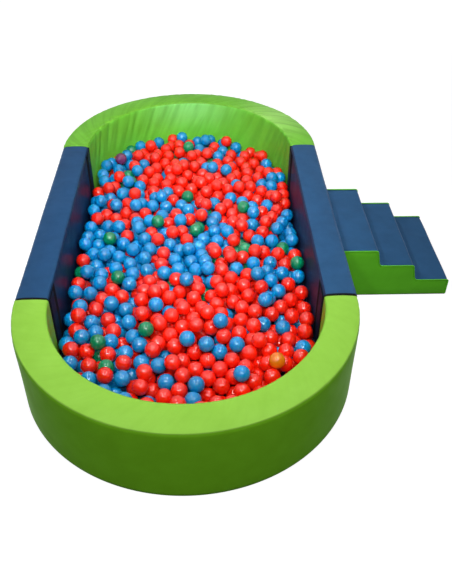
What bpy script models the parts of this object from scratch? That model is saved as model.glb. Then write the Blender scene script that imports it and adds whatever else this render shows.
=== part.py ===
"""Soft-play ball pit: four foam wall modules round a floor mat, a flight of steps and a fill of balls.

Blender 4.5, metres, +Z up. The origin is on the floor at the middle of the pit, +Y points to the
rear arc and +X to the steps. The pit's plan is a stadium: two straight walls joined by two half rings.
"""
import math
import random

import bmesh
import bpy
import numpy as np
from mathutils import Matrix, Vector
from mathutils.bvhtree import BVHTree
from mathutils.geometry import delaunay_2d_cdt

# Driving sizes of the pit
OUTER_WIDTH = 1.60
STRAIGHT_LENGTH = 1.50
WALL_THICKNESS = 0.16
WALL_HEIGHT = 0.40
MAT_THICKNESS = 0.030

# Driving sizes of the steps, which stand against the right wall
STEP_COUNT = 3
STEP_TREAD = 0.21
STEP_WIDTH = 0.64
STEP_OFFSET = 0.04
RISER_RAKE = 0.02

# Driving sizes of the fill
BALL_DIAMETER = 0.080
BALL_COUNT = 905

# Covers: thin vinyl over foam, open underneath and closed there by a base panel with a zip
CLEARANCE = 0.0003
COVER_THICKNESS = 0.0012
COVER_EDGE_RADIUS = 0.018
COVER_RIM_LIFT = 0.0006
TOP_CROWN = 0.003
BASE_THICKNESS = 0.0015

# Zips in the base panels, each in a channel cut into the foam above it
ZIP_SLOT_WIDTH = 0.012
ZIP_TAPE_WIDTH = 0.026
ZIP_TAPE_THICKNESS = 0.0012
ZIP_CHANNEL_WIDTH = 0.034
ZIP_CHANNEL_DEPTH = 0.014
ZIP_END_MARGIN = 0.16
ZIP_TAPE_OVERLAP = 0.010
ARC_ZIP_SHARE = 0.8
MAT_ZIP_OFFSET = 0.30
SLIDER_LENGTH = 0.020
SLIDER_WIDTH = 0.011
SLIDER_HEIGHT = 0.0045
PULL_LENGTH = 0.030
PULL_THICKNESS = 0.0016
PULL_GAP = 0.0012
SLIDER_END_GAP = 0.012

# Hook-and-loop tape that joins the modules, and the navy strip that binds its inner edge
TAPE_THICKNESS = 0.0012
HOOK_LEG_WIDTH = 0.042
HOOK_BAR_HEIGHT = 0.050
TAPE_SIDE_MARGIN = 0.008
TAPE_TOP_MARGIN = 0.010
TAPE_FOOT = 0.036
BINDING_TAPE_WIDTH = 0.132
BINDING_WIDTH = 0.072
BINDING_JOINT_MARGIN = 0.016
BINDING_THICKNESS = 0.0014
BINDING_TOP_MARGIN = 0.018

# Resolution of round shapes, and the angle above which an edge stays sharp
ARC_STEPS = 20
CORNER_STEPS = 2
SHARP_ANGLE = math.radians(40)
BALL_SPLIT_COUNT = 2

# Settling of the fill. Its grid is a share of a ball's radius, and each layer of balls closes outwards
# from a number of spots, in the order that a slight slope gives
FILL_SEED = 24
FILL_GRID_SHARE = 0.12
FILL_SPOT_COUNT = 12
FILL_ORDER_SLOPE = 0.01
FILL_ROLL_STEPS = 4
FILL_SIDE_GAP = 0.0045
RATIO_DIGITS = 6
HALVINGS = 12

# Shape of each ball's dome on the fill's top: a ring of points at a share of the ball's radius, each
# dome's ring turned by a share of a turn, the slope of the surface down between domes, and how far
# over the mat it always stays, as a share of the ball's radius
DOME_RING_POINTS = 5
DOME_RING_SHARE = 0.70
DOME_TURN_SHARE = 0.381966
GAP_SLOPE = 2.0
GAP_FLOOR_SHARE = 0.5

# The hull from which the borders between domes come: how much it is flattened, and how flat is flat
LIFT_SHARE = 0.02
HULL_FLAT = 1e-4

# Loose balls that lie on top of the fill: name, colour, and the place over which each is dropped,
# as shares of the pit's half length and half width from its middle
LOOSE_BALL_TABLE_SHARES = (
    ("loose_ball_blue_1", "blue", -0.59, -0.05),
    ("loose_ball_blue_2", "blue", -0.64, 0.17),
    ("loose_ball_blue_3", "blue", -0.46, 0.17),
    ("loose_ball_blue_4", "blue", 0.96, -0.11),
    ("loose_ball_blue_5", "blue", -0.79, 0.48),
    ("loose_ball_red_1", "red", 0.90, -0.50),
    ("loose_ball_red_2", "red", -0.63, 0.59),
    ("loose_ball_red_3", "red", -0.45, -0.92),
    ("loose_ball_green_1", "green", -0.58, -0.39),
    ("loose_ball_green_2", "green", -0.58, -0.68),
    ("loose_ball_purple_1", "purple", 0.72, -0.77),
    ("loose_ball_orange_1", "orange", -0.70, 0.69),
)

# Finishes: colour, roughness, metallic
FINISHES = {
    "lime_vinyl": ((0.30, 0.65, 0.05), 0.45, 0.0),
    "navy_vinyl": ((0.035, 0.10, 0.24), 0.45, 0.0),
    "foam": ((0.80, 0.78, 0.68), 0.95, 0.0),
    "base_fabric": ((0.03, 0.03, 0.035), 0.80, 0.0),
    "black_tape": ((0.01, 0.01, 0.01), 0.90, 0.0),
    "zip_nylon": ((0.02, 0.02, 0.02), 0.60, 0.0),
    "zip_metal": ((0.60, 0.60, 0.60), 0.35, 1.0),
    "red": ((0.83, 0.02, 0.01), 0.25, 0.0),
    "blue": ((0.01, 0.17, 0.52), 0.25, 0.0),
    "green": ((0.00, 0.20, 0.06), 0.25, 0.0),
    "purple": ((0.18, 0.02, 0.17), 0.25, 0.0),
    "orange": ((0.90, 0.20, 0.01), 0.25, 0.0),
}

# Sizes that follow from the ones above
OUTER_RADIUS = OUTER_WIDTH / 2
INNER_RADIUS = OUTER_RADIUS - WALL_THICKNESS
MID_RADIUS = OUTER_RADIUS - WALL_THICKNESS / 2
HALF_STRAIGHT = STRAIGHT_LENGTH / 2
JOINT_GAP = 2 * TAPE_THICKNESS + 3 * CLEARANCE
SKIN = COVER_THICKNESS + CLEARANCE
FOAM_FOOT = BASE_THICKNESS + CLEARANCE
SLIDER_FOOT = FOAM_FOOT + ZIP_TAPE_THICKNESS + CLEARANCE
STEP_RISER = WALL_HEIGHT / (STEP_COUNT + 1)
STEP_START = OUTER_RADIUS + CLEARANCE
BALL_RADIUS = BALL_DIAMETER / 2
FILL_FLOOR = MAT_THICKNESS + CLEARANCE
FILL_RADIUS = INNER_RADIUS - FILL_SIDE_GAP
GAP_FLOOR = FILL_FLOOR + GAP_FLOOR_SHARE * BALL_RADIUS


def clear_scene():
    """Removes every object that the file starts with."""
    for old in list(bpy.data.objects):
        bpy.data.objects.remove(old, do_unlink=True)


def new_collection(name):
    """Makes a collection in the scene and returns it."""
    made = bpy.data.collections.new(name)
    bpy.context.scene.collection.children.link(made)
    return made


def finish(name):
    """Returns the Principled material of a finish, made on its first use."""
    made = bpy.data.materials.get(name)
    if made is None:
        colour, roughness, metallic = FINISHES[name]
        made = bpy.data.materials.new(name)
        made.use_nodes = True
        shader = made.node_tree.nodes["Principled BSDF"]
        shader.inputs["Base Color"].default_value = (*colour, 1.0)
        shader.inputs["Roughness"].default_value = roughness
        shader.inputs["Metallic"].default_value = metallic
    return made


def place(collection, name, data, finish_name, at=(0.0, 0.0, 0.0), turn=0.0):
    """Links a new object at a place, turned about its own Z axis."""
    made = bpy.data.objects.new(name, data)
    made.location = at
    made.rotation_euler = (0.0, 0.0, turn)
    if finish_name:
        data.materials.append(finish(finish_name))
    collection.objects.link(made)
    return made


def mesh_from(bm, name, smooth_angle=None):
    """Turns a bmesh into mesh data, shaded smooth up to an angle where one is given."""
    bmesh.ops.recalc_face_normals(bm, faces=bm.faces)
    if bm.calc_volume(signed=True) < 0.0:
        bmesh.ops.reverse_faces(bm, faces=bm.faces)
    data = bpy.data.meshes.new(name)
    bm.to_mesh(data)
    bm.free()
    if smooth_angle is not None:
        data.shade_smooth()
        data.set_sharp_from_angle(angle=smooth_angle)
    return data


def section_outline(inset, foot):
    """Outline of a wall's cross-section as (across, up) points, drawn in by an inset.

    The top is crowned and its edges are rounded.
    """
    half = WALL_THICKNESS / 2 - inset
    top = WALL_HEIGHT - inset
    radius = COVER_EDGE_RADIUS - inset
    shoulder = top - TOP_CROWN - radius
    right = []
    for step in range(CORNER_STEPS + 1):
        angle = math.pi / 2 * step / CORNER_STEPS
        right.append((half - radius + radius * math.cos(angle), shoulder + radius * math.sin(angle)))
    left = [(-across, up) for across, up in reversed(right)]
    return [(half, foot), *right, (0.0, top), *left, (-half, foot)]


def zip_channel(middle, foot):
    """The part of a foam block's outline that runs round the channel over its zip."""
    side = ZIP_CHANNEL_WIDTH / 2
    roof = foot + ZIP_CHANNEL_DEPTH
    return [(middle - side, foot), (middle - side, roof), (middle + side, roof),
            (middle + side, foot)]


def swept_half_turn(bm, outline):
    """Sweeps a section half a turn about the Z axis, from +X round by +Y to -X."""
    corners = [bm.verts.new((MID_RADIUS + across, 0.0, up)) for across, up in outline]
    face = bm.faces.new(corners)
    bmesh.ops.spin(bm, geom=[*corners, *face.edges, face], cent=(0.0, 0.0, 0.0),
                   axis=(0.0, 0.0, 1.0), angle=math.pi, steps=ARC_STEPS)


def pushed_out(bm, corners, push):
    """Draws a face from its corners and pushes it out into a block."""
    face = bm.faces.new([bm.verts.new(corner) for corner in corners])
    pushed = bmesh.ops.extrude_face_region(bm, geom=[face])
    moved = [part for part in pushed["geom"] if isinstance(part, bmesh.types.BMVert)]
    bmesh.ops.translate(bm, verts=moved, vec=push)


def swept_straight(bm, outline, length):
    """Sweeps a section or side view along Y, with its middle at the origin."""
    pushed_out(bm, [(across, -length / 2, up) for across, up in outline], (0.0, length, 0.0))


def pushed_up(bm, loop, foot, top):
    """Pushes a loop of the plan up into a slab."""
    pushed_out(bm, [(x, y, foot) for x, y in loop], (0.0, 0.0, top - foot))


def open_underneath(bm, foot):
    """Deletes the faces that lie at the foot of a swept block, so that it becomes a bottomless skin."""
    tolerance = CLEARANCE / 2
    under = [face for face in bm.faces if max(abs(v.co.z - foot) for v in face.verts) < tolerance]
    bmesh.ops.delete(bm, geom=under, context="FACES")


def thicken(skin):
    """Gives an open skin the covers' thickness, inwards from its outer surface."""
    wall = skin.modifiers.new("vinyl", "SOLIDIFY")
    wall.thickness = COVER_THICKNESS
    wall.offset = -1.0
    wall.use_even_offset = True


def sector_loop(inner, outer, start, end, steps):
    """Closed loop of a ring sector between two radii and two angles, in the plane."""
    angles = [start + (end - start) * step / steps for step in range(steps + 1)]
    far = [(outer * math.cos(a), outer * math.sin(a)) for a in angles]
    near = [(inner * math.cos(a), inner * math.sin(a)) for a in reversed(angles)]
    return far + near


def box_loop(x_low, x_high, y_low, y_high):
    """Closed loop of a rectangle in the plane."""
    return [(x_low, y_low), (x_high, y_low), (x_high, y_high), (x_low, y_high)]


def stadium_loop(radius, half_straight, steps):
    """Closed loop of a stadium whose half rings have the given steps each."""
    rear = [(radius * math.cos(a), half_straight + radius * math.sin(a))
            for a in (math.pi * step / steps for step in range(steps + 1))]
    front = [(-x, -y) for x, y in rear]
    return rear + front


def flat_panel(collection, name, loops, height, finish_name, at, turn=0.0):
    """A flat panel from closed loops, the first its outline and any others its holes.

    Its underside is at the given place.
    """
    curve = bpy.data.curves.new(name, "CURVE")
    curve.dimensions = "2D"
    curve.fill_mode = "BOTH"
    curve.extrude = height / 2
    for loop in loops:
        spline = curve.splines.new("POLY")
        spline.points.add(len(loop) - 1)
        for point, (x, y) in zip(spline.points, loop):
            point.co = (x, y, 0.0, 1.0)
        spline.use_cyclic_u = True
    raised = (at[0], at[1], at[2] + height / 2)
    return place(collection, name, curve, finish_name, raised, turn)


def zip_slider_mesh(name):
    """Mesh of a zip slider: a body with a pull tab that lies over it, drawn in side view."""
    half = SLIDER_LENGTH / 2
    tab_low = SLIDER_HEIGHT + PULL_GAP
    tab_high = tab_low + PULL_THICKNESS
    nose = SLIDER_HEIGHT / 2
    outline = [(-half, 0.0), (half, 0.0), (half, nose), (half - nose, tab_high),
               (half - PULL_LENGTH, tab_high), (half - PULL_LENGTH, tab_low), (0.0, tab_low),
               (0.0, SLIDER_HEIGHT), (-half, SLIDER_HEIGHT)]
    bm = bmesh.new()
    corners = [(-SLIDER_WIDTH / 2, along, up) for along, up in outline]
    pushed_out(bm, corners, (SLIDER_WIDTH, 0.0, 0.0))
    return mesh_from(bm, name)


def add_zip(collection, prefix, tape_loop, slider_at, slider_turn, origin, turn):
    """A zip tape on a base panel and its slider, whose own origin is at `origin` of the module."""
    flat_panel(collection, prefix + "_zip", [tape_loop], ZIP_TAPE_THICKNESS, "zip_nylon",
               (origin[0], origin[1], FOAM_FOOT), turn)
    data = zip_slider_mesh(prefix + "_zip_slider")
    data.transform(Matrix.Translation(slider_at) @ Matrix.Rotation(slider_turn, 4, "Z"))
    place(collection, prefix + "_zip_slider", data, "zip_metal", origin, turn)


def arc_module(collection, prefix, sign):
    """A half-ring wall module at the rear (sign 1) or the front (sign -1) of the pit."""
    turn = 0.0 if sign > 0 else math.pi
    origin = (0.0, sign * (HALF_STRAIGHT + JOINT_GAP / 2), 0.0)

    bm = bmesh.new()
    swept_half_turn(bm, section_outline(0.0, COVER_RIM_LIFT))
    open_underneath(bm, COVER_RIM_LIFT)
    cover = place(collection, prefix + "_cover", mesh_from(bm, prefix + "_cover", SHARP_ANGLE),
                  "lime_vinyl", origin, turn)
    thicken(cover)

    bm = bmesh.new()
    swept_half_turn(bm, section_outline(SKIN, FOAM_FOOT) + zip_channel(0.0, FOAM_FOOT))
    shorten_ends(bm, SKIN)
    place(collection, prefix + "_foam", mesh_from(bm, prefix + "_foam"), "foam", origin, turn)

    zip_start = math.pi * (1 - ARC_ZIP_SHARE) / 2
    zip_end = math.pi - zip_start
    slot = sector_loop(MID_RADIUS - ZIP_SLOT_WIDTH / 2, MID_RADIUS + ZIP_SLOT_WIDTH / 2,
                       zip_start, zip_end, ARC_STEPS)
    outline = sector_loop(INNER_RADIUS + SKIN, OUTER_RADIUS - SKIN, 0.0, math.pi, ARC_STEPS)
    outline = [(x, max(y, SKIN)) for x, y in outline]
    flat_panel(collection, prefix + "_base", [outline, slot], BASE_THICKNESS, "base_fabric",
               origin, turn)

    overlap = ZIP_TAPE_OVERLAP / MID_RADIUS
    tape = sector_loop(MID_RADIUS - ZIP_TAPE_WIDTH / 2, MID_RADIUS + ZIP_TAPE_WIDTH / 2,
                       zip_start - overlap, zip_end + overlap, ARC_STEPS)
    slider_angle = zip_start + SLIDER_END_GAP / MID_RADIUS
    slider_at = Vector((MID_RADIUS * math.cos(slider_angle), MID_RADIUS * math.sin(slider_angle),
                        SLIDER_FOOT))
    add_zip(collection, prefix, tape, slider_at, slider_angle, origin, turn)


def shorten_ends(bm, inset):
    """Moves the end faces of a half-turn sweep in from y = 0 by an inset."""
    for vert in bm.verts:
        vert.co.y = max(vert.co.y, inset)


def wall_module(collection, prefix, side):
    """A straight wall module on the left (side -1) or the right (side 1) of the pit."""
    origin = (side * MID_RADIUS, 0.0, 0.0)
    length = STRAIGHT_LENGTH - JOINT_GAP

    bm = bmesh.new()
    swept_straight(bm, section_outline(0.0, COVER_RIM_LIFT), length)
    open_underneath(bm, COVER_RIM_LIFT)
    cover = place(collection, prefix + "_cover", mesh_from(bm, prefix + "_cover", SHARP_ANGLE),
                  "navy_vinyl", origin)
    thicken(cover)

    bm = bmesh.new()
    swept_straight(bm, section_outline(SKIN, FOAM_FOOT) + zip_channel(0.0, FOAM_FOOT),
                   length - 2 * SKIN)
    place(collection, prefix + "_foam", mesh_from(bm, prefix + "_foam"), "foam", origin)

    half_zip = length / 2 - ZIP_END_MARGIN
    across = WALL_THICKNESS / 2 - SKIN
    outline = box_loop(-across, across, -length / 2 + SKIN, length / 2 - SKIN)
    straight_zip(collection, prefix, outline, half_zip, origin)


def straight_zip(collection, prefix, outline, half_zip, origin):
    """The base panel of a module with a straight zip along Y: panel, zip tape and slider."""
    slot = box_loop(-ZIP_SLOT_WIDTH / 2, ZIP_SLOT_WIDTH / 2, -half_zip, half_zip)
    flat_panel(collection, prefix + "_base", [outline, slot], BASE_THICKNESS, "base_fabric",
               origin)
    reach = half_zip + ZIP_TAPE_OVERLAP
    tape = box_loop(-ZIP_TAPE_WIDTH / 2, ZIP_TAPE_WIDTH / 2, -reach, reach)
    slider_at = Vector((0.0, PULL_LENGTH - half_zip, SLIDER_FOOT))
    add_zip(collection, prefix, tape, slider_at, 0.0, origin, 0.0)


def hook_tape(collection, prefix, side, sign):
    """Hook tape on an arc's end face: two uprights joined by a cross bar, in one H."""
    low, high = TAPE_FOOT, WALL_HEIGHT - TOP_CROWN - TAPE_TOP_MARGIN
    half = WALL_THICKNESS / 2 - TAPE_SIDE_MARGIN
    inside = half - HOOK_LEG_WIDTH
    bar_low = (low + high) / 2 - HOOK_BAR_HEIGHT / 2
    bar_high = bar_low + HOOK_BAR_HEIGHT
    loop = [(-half, low), (-inside, low), (-inside, bar_low), (inside, bar_low), (inside, low),
            (half, low), (half, high), (inside, high), (inside, bar_high), (-inside, bar_high),
            (-inside, high), (-half, high)]
    middle = sign * (HALF_STRAIGHT + JOINT_GAP / 2 - CLEARANCE - TAPE_THICKNESS / 2)
    panel = flat_panel(collection, prefix, [loop], TAPE_THICKNESS, "black_tape", (0.0, 0.0, 0.0))
    panel.location = (side * MID_RADIUS, middle, 0.0)
    panel.rotation_euler = (math.pi / 2, 0.0, 0.0)


def loop_tape(collection, prefix, side, sign):
    """Loop tape on a straight wall's end, turned round the corner onto the wall's inner face."""
    low, high = TAPE_FOOT, WALL_HEIGHT - TOP_CROWN - TAPE_TOP_MARGIN
    end = HALF_STRAIGHT - JOINT_GAP / 2 + CLEARANCE
    face = INNER_RADIUS - CLEARANCE
    far = OUTER_RADIUS - TAPE_SIDE_MARGIN
    back = HALF_STRAIGHT - BINDING_TAPE_WIDTH
    loop = [(far, end), (face, end), (face, back), (face - TAPE_THICKNESS, back),
            (face - TAPE_THICKNESS, end + TAPE_THICKNESS), (far, end + TAPE_THICKNESS)]
    loop = [(side * x, sign * y) for x, y in loop]
    flat_panel(collection, prefix, [loop], high - low, "black_tape", (0.0, 0.0, low))


def binding_strip(collection, prefix, side, sign):
    """Navy strip sewn over the inner leg of a loop tape, which shows on both its sides."""
    low, high = TAPE_FOOT, WALL_HEIGHT - TOP_CROWN - BINDING_TOP_MARGIN
    face = INNER_RADIUS - TAPE_THICKNESS - 2 * CLEARANCE
    near = HALF_STRAIGHT - BINDING_JOINT_MARGIN - BINDING_WIDTH
    loop = box_loop(face - BINDING_THICKNESS, face, near, near + BINDING_WIDTH)
    loop = [(side * x, sign * y) for x, y in loop]
    flat_panel(collection, prefix, [loop], high - low, "navy_vinyl", (0.0, 0.0, low))


def stair_outline(inset, foot):
    """Side view of the steps as (x, z) points from the wall outwards, drawn in by an inset.

    All risers but the last are raked: each one's foot is farther out than the tread edge above it.
    """
    slope = RISER_RAKE / STEP_RISER
    raked = inset * (slope - math.hypot(1.0, slope))
    points = [(inset, foot)]
    start = inset
    for step in range(STEP_COUNT):
        up = (STEP_COUNT - step) * STEP_RISER - inset
        edge = (step + 1) * STEP_TREAD + (raked if step < STEP_COUNT - 1 else -inset)
        points += [(start, up), (edge, up)]
        start = edge + RISER_RAKE
    points.append((STEP_COUNT * STEP_TREAD - inset, foot))
    return points


def steps_module(collection):
    """The steps: stair-shaped foam, a navy cover strip, two green sides, a base and its zip."""
    origin = Vector((STEP_START, STEP_OFFSET, 0.0))
    middle = STEP_COUNT * STEP_TREAD / 2
    width = STEP_WIDTH - 2 * SKIN

    bm = bmesh.new()
    channel = reversed(zip_channel(middle, FOAM_FOOT))
    swept_straight(bm, [*stair_outline(SKIN, FOAM_FOOT), *channel], width)
    place(collection, "steps_foam", mesh_from(bm, "steps_foam"), "foam", origin)

    bm = bmesh.new()
    strip = [bm.verts.new((x, width / 2, z)) for x, z in stair_outline(0.0, COVER_RIM_LIFT)]
    edges = [bm.edges.new(pair) for pair in zip(strip, strip[1:])]
    pushed = bmesh.ops.extrude_edge_only(bm, edges=edges)
    moved = [part for part in pushed["geom"] if isinstance(part, bmesh.types.BMVert)]
    bmesh.ops.translate(bm, verts=moved, vec=(0.0, -width, 0.0))
    data = bpy.data.meshes.new("steps_tread_cover")
    bm.to_mesh(data)
    bm.free()
    thicken(place(collection, "steps_tread_cover", data, "navy_vinyl", origin))

    for name, sign in (("steps_rear_side", 1), ("steps_front_side", -1)):
        bm = bmesh.new()
        swept_straight(bm, stair_outline(0.0, COVER_RIM_LIFT), COVER_THICKNESS)
        across = sign * (STEP_WIDTH - COVER_THICKNESS) / 2
        place(collection, name, mesh_from(bm, name), "lime_vinyl",
              origin + Vector((0.0, across, 0.0)))

    outline = box_loop(SKIN - middle, middle - SKIN, -width / 2, width / 2)
    straight_zip(collection, "steps", outline, width / 2 - ZIP_END_MARGIN / 2,
                 origin + Vector((middle, 0.0, 0.0)))


def floor_mat(collection, cutters):
    """The padded mat that the walls stand round: foam, cover, base panel and zip."""
    reach = INNER_RADIUS - CLEARANCE
    bm = bmesh.new()
    pushed_up(bm, stadium_loop(reach, HALF_STRAIGHT, ARC_STEPS), COVER_RIM_LIFT, MAT_THICKNESS)
    open_underneath(bm, COVER_RIM_LIFT)
    thicken(place(collection, "mat_cover", mesh_from(bm, "mat_cover", SHARP_ANGLE), "navy_vinyl"))

    bm = bmesh.new()
    inner = stadium_loop(reach - SKIN, HALF_STRAIGHT, ARC_STEPS)
    pushed_up(bm, inner, FOAM_FOOT, MAT_THICKNESS - SKIN)
    foam = place(collection, "mat_foam", mesh_from(bm, "mat_foam"), "foam")

    half_zip = HALF_STRAIGHT - ZIP_END_MARGIN
    half_channel = half_zip + 2 * ZIP_TAPE_OVERLAP
    bm = bmesh.new()
    near = MAT_ZIP_OFFSET - ZIP_CHANNEL_WIDTH / 2
    channel = box_loop(near, near + ZIP_CHANNEL_WIDTH, -half_channel, half_channel)
    pushed_up(bm, channel, FOAM_FOOT - ZIP_CHANNEL_DEPTH, FOAM_FOOT + ZIP_CHANNEL_DEPTH)
    cutter = place(cutters, "mat_channel_cutter", mesh_from(bm, "mat_channel_cutter"), None)
    cutter.hide_render = True
    cutter.display_type = "WIRE"
    cut = foam.modifiers.new("zip channel", "BOOLEAN")
    cut.operation = "DIFFERENCE"
    cut.solver = "EXACT"
    cut.object = cutter

    outline = [(x - MAT_ZIP_OFFSET, y) for x, y in inner]
    straight_zip(collection, "mat", outline, half_zip, (MAT_ZIP_OFFSET, 0.0, 0.0))


class BallFill:
    """The settled balls. Lengths in here are in ball radii, so that one part scales to any size."""

    def __init__(self):
        self.rng = random.Random(FILL_SEED)
        self.reach = round(FILL_RADIUS / BALL_RADIUS, RATIO_DIGITS) - 1.0
        self.half_straight = round(HALF_STRAIGHT / BALL_RADIUS, RATIO_DIGITS)
        self.cell = FILL_GRID_SHARE
        self.balls = []
        self.lay_grid()

    def lay_grid(self):
        """Maps, for each place on a grid, how high a ball's centre would rest there."""
        self.columns = int(self.reach / self.cell)
        self.rows = int((self.reach + self.half_straight) / self.cell)
        across = np.arange(-self.columns, self.columns + 1) * self.cell
        along = np.arange(-self.rows, self.rows + 1) * self.cell
        x, y = np.meshgrid(across, along, indexing="ij")
        past = np.maximum(np.abs(y) - self.half_straight, 0.0)
        inside = x * x + past * past <= self.reach * self.reach
        self.rest = np.where(inside, 1.0, np.inf)
        spots = self.rng.sample(np.argwhere(inside).tolist(), FILL_SPOT_COUNT)
        off = [np.hypot(x - x[i, j], y - y[i, j]) for i, j in spots]
        self.order = FILL_ORDER_SLOPE * np.minimum.reduce(off)
        self.span = int(2.0 / self.cell) + 1
        step = np.arange(-self.span, self.span + 1) * self.cell
        dx, dy = np.meshgrid(step, step, indexing="ij")
        left = 4.0 - dx * dx - dy * dy
        self.shadow = np.where(left > 0.0, np.sqrt(np.maximum(left, 0.0)), -np.inf)

    def roll(self, i, j):
        """Rolls a ball from a grid place to the lowest seat that it comes to."""
        while True:
            i_low, j_low = max(i - FILL_ROLL_STEPS, 0), max(j - FILL_ROLL_STEPS, 0)
            window = self.rest[i_low:i + FILL_ROLL_STEPS + 1, j_low:j + FILL_ROLL_STEPS + 1]
            a, b = divmod(int(np.argmin(window)), window.shape[1])
            if window[a, b] >= self.rest[i, j]:
                return i, j
            i, j = i_low + a, j_low + b

    def seat(self, i, j):
        """Adds a ball at a grid place, and raises the map where it now gets in the way."""
        up = float(self.rest[i, j])
        i_low, j_low = max(i - self.span, 0), max(j - self.span, 0)
        near = self.rest[i_low:i + self.span + 1, j_low:j + self.span + 1]
        a, b = i_low - i + self.span, j_low - j + self.span
        cap = self.shadow[a:a + near.shape[0], b:b + near.shape[1]]
        np.maximum(near, up + cap, out=near)
        self.balls.append(((i - self.columns) * self.cell, (j - self.rows) * self.cell, up))

    def pour(self, count):
        """Adds balls, each at the lowest seat that is left."""
        for _ in range(count):
            i, j = divmod(int(np.argmin(self.rest + self.order)), self.rest.shape[1])
            self.seat(i, j)

    def drop_at(self, along_share, across_share):
        """Drops one ball over a place given as shares of the pit, and returns it."""
        i = self.columns + int(round(across_share * self.columns))
        j = self.rows + int(round(along_share * self.rows))
        self.seat(*self.roll(i, j))
        return self.balls[-1]


def true_size(ball):
    """A ball's centre in metres, from its place in the fill."""
    x, y, up = ball
    return Vector((x * BALL_RADIUS, y * BALL_RADIUS, FILL_FLOOR + up * BALL_RADIUS))


class FillSurface:
    """Height of the fill's top over the plan, in metres, and the ball that forms it."""

    def __init__(self, centres):
        self.centres = np.array([tuple(c) for c in centres])

    def at(self, x, y):
        """Height over a plan place and the index of the ball that forms it."""
        dx, dy = self.centres[:, 0] - x, self.centres[:, 1] - y
        off = np.sqrt(dx * dx + dy * dy)
        dome = np.sqrt(np.maximum(BALL_RADIUS * BALL_RADIUS - off * off, 0.0))
        gap = GAP_SLOPE * np.maximum(off - BALL_RADIUS, 0.0)
        height = self.centres[:, 2] + dome - gap
        top = int(np.argmax(height))
        return max(float(height[top]), GAP_FLOOR), top

    def shows(self, index):
        """Whether a ball's crown is open to the sky."""
        x, y, _ = self.centres[index]
        return self.at(x, y)[1] == index

    def cells(self, shown):
        """Borders between neighbouring domes in plan, as pairs of points.

        A dome is close to a paraboloid at its crown, so the borders are those of a power diagram.
        It comes from the lower hull of the crowns lifted onto a paraboloid.
        """
        lifted = bmesh.new()
        for index in shown:
            x, y, z = self.centres[index] / BALL_RADIUS
            lifted.verts.new((x, y, (x * x + y * y - 2.0 * z) * LIFT_SHARE))
        bmesh.ops.convex_hull(lifted, input=lifted.verts)
        bmesh.ops.triangulate(lifted, faces=lifted.faces)
        lifted.normal_update()
        duals = {}
        for face in lifted.faces:
            if face.normal.z < -HULL_FLAT:
                tilt = face.normal / -face.normal.z / (2.0 * LIFT_SHARE)
                duals[face.index] = (tilt.x * BALL_RADIUS, tilt.y * BALL_RADIUS)
        borders = []
        for edge in lifted.edges:
            ends = [duals[face.index] for face in edge.link_faces if face.index in duals]
            if len(ends) == 2:
                borders.append(ends)
        lifted.free()
        return borders


def fill_mesh(name, centres):
    """One closed solid of the joined balls: domes on top, a plain side and a flat underside."""
    surface = FillSurface(centres)
    shown = [n for n in range(len(centres)) if surface.shows(n)]
    outline = stadium_loop(FILL_RADIUS, HALF_STRAIGHT, ARC_STEPS)
    points = list(outline)
    edges = [(n, (n + 1) % len(outline)) for n in range(len(outline))]
    for index in shown:
        x, y, _ = centres[index]
        points.append((x, y))
        for step in range(DOME_RING_POINTS):
            angle = 2 * math.pi * (step / DOME_RING_POINTS + index * DOME_TURN_SHARE)
            ring = DOME_RING_SHARE * BALL_RADIUS
            place_on = (x + ring * math.cos(angle), y + ring * math.sin(angle))
            if surface.at(*place_on)[1] == index and within_stadium(place_on):
                points.append(place_on)
    for start, end in surface.cells(shown):
        if within_stadium(end):
            start, end = end, start
        if within_stadium(start):
            edges.append((len(points), len(points) + 1))
            points += [start, drawn_in(start, end)]
    verts, _, faces, _, _, _ = delaunay_2d_cdt([Vector(p) for p in points], edges,
                                               [list(range(len(outline)))], 1, CLEARANCE)
    bm = bmesh.new()
    top = [bm.verts.new((v.x, v.y, surface.at(v.x, v.y)[0])) for v in verts]
    for corners in faces:
        bm.faces.new([top[n] for n in corners])
    rim = [edge for edge in bm.edges if edge.is_boundary]
    pushed = bmesh.ops.extrude_edge_only(bm, edges=rim)
    low = [part for part in pushed["geom"] if isinstance(part, bmesh.types.BMVert)]
    for vert in low:
        vert.co.z = FILL_FLOOR
    foot = [edge for edge in bm.edges if edge.is_boundary]
    bmesh.ops.contextual_create(bm, geom=foot)
    return mesh_from(bm, name)


def within_stadium(point):
    """Whether a plan point lies inside the fill's outline, clear of its facets."""
    x, y = point
    past = max(abs(y) - HALF_STRAIGHT, 0.0)
    facet_depth = FILL_RADIUS * (1.0 - math.cos(math.pi / ARC_STEPS / 2))
    return math.hypot(x, past) < FILL_RADIUS - facet_depth - CLEARANCE


def drawn_in(start, end):
    """The farthest point inside the fill's outline on the line from an inner start to an end."""
    if within_stadium(end):
        return end
    near, far = 0.0, 1.0
    for _ in range(HALVINGS):
        middle = (near + far) / 2
        point = (start[0] + (end[0] - start[0]) * middle, start[1] + (end[1] - start[1]) * middle)
        if within_stadium(point):
            near = middle
        else:
            far = middle
    return (start[0] + (end[0] - start[0]) * near, start[1] + (end[1] - start[1]) * near)


def seated(ball, centre, below):
    """Centre of a ball's mesh when it is let down onto what is below it, one clearance apart."""
    faces = [tuple(face.vertices) for face in ball.polygons]
    low, high = centre.z - BALL_RADIUS, centre.z + BALL_RADIUS
    for _ in range(HALVINGS):
        middle = Vector((centre.x, centre.y, (low + high) / 2))
        tried = BVHTree.FromPolygons([vert.co + middle for vert in ball.vertices], faces)
        if tried.overlap(below):
            low = middle.z
        else:
            high = middle.z
    return Vector((centre.x, centre.y, high + CLEARANCE))


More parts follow.
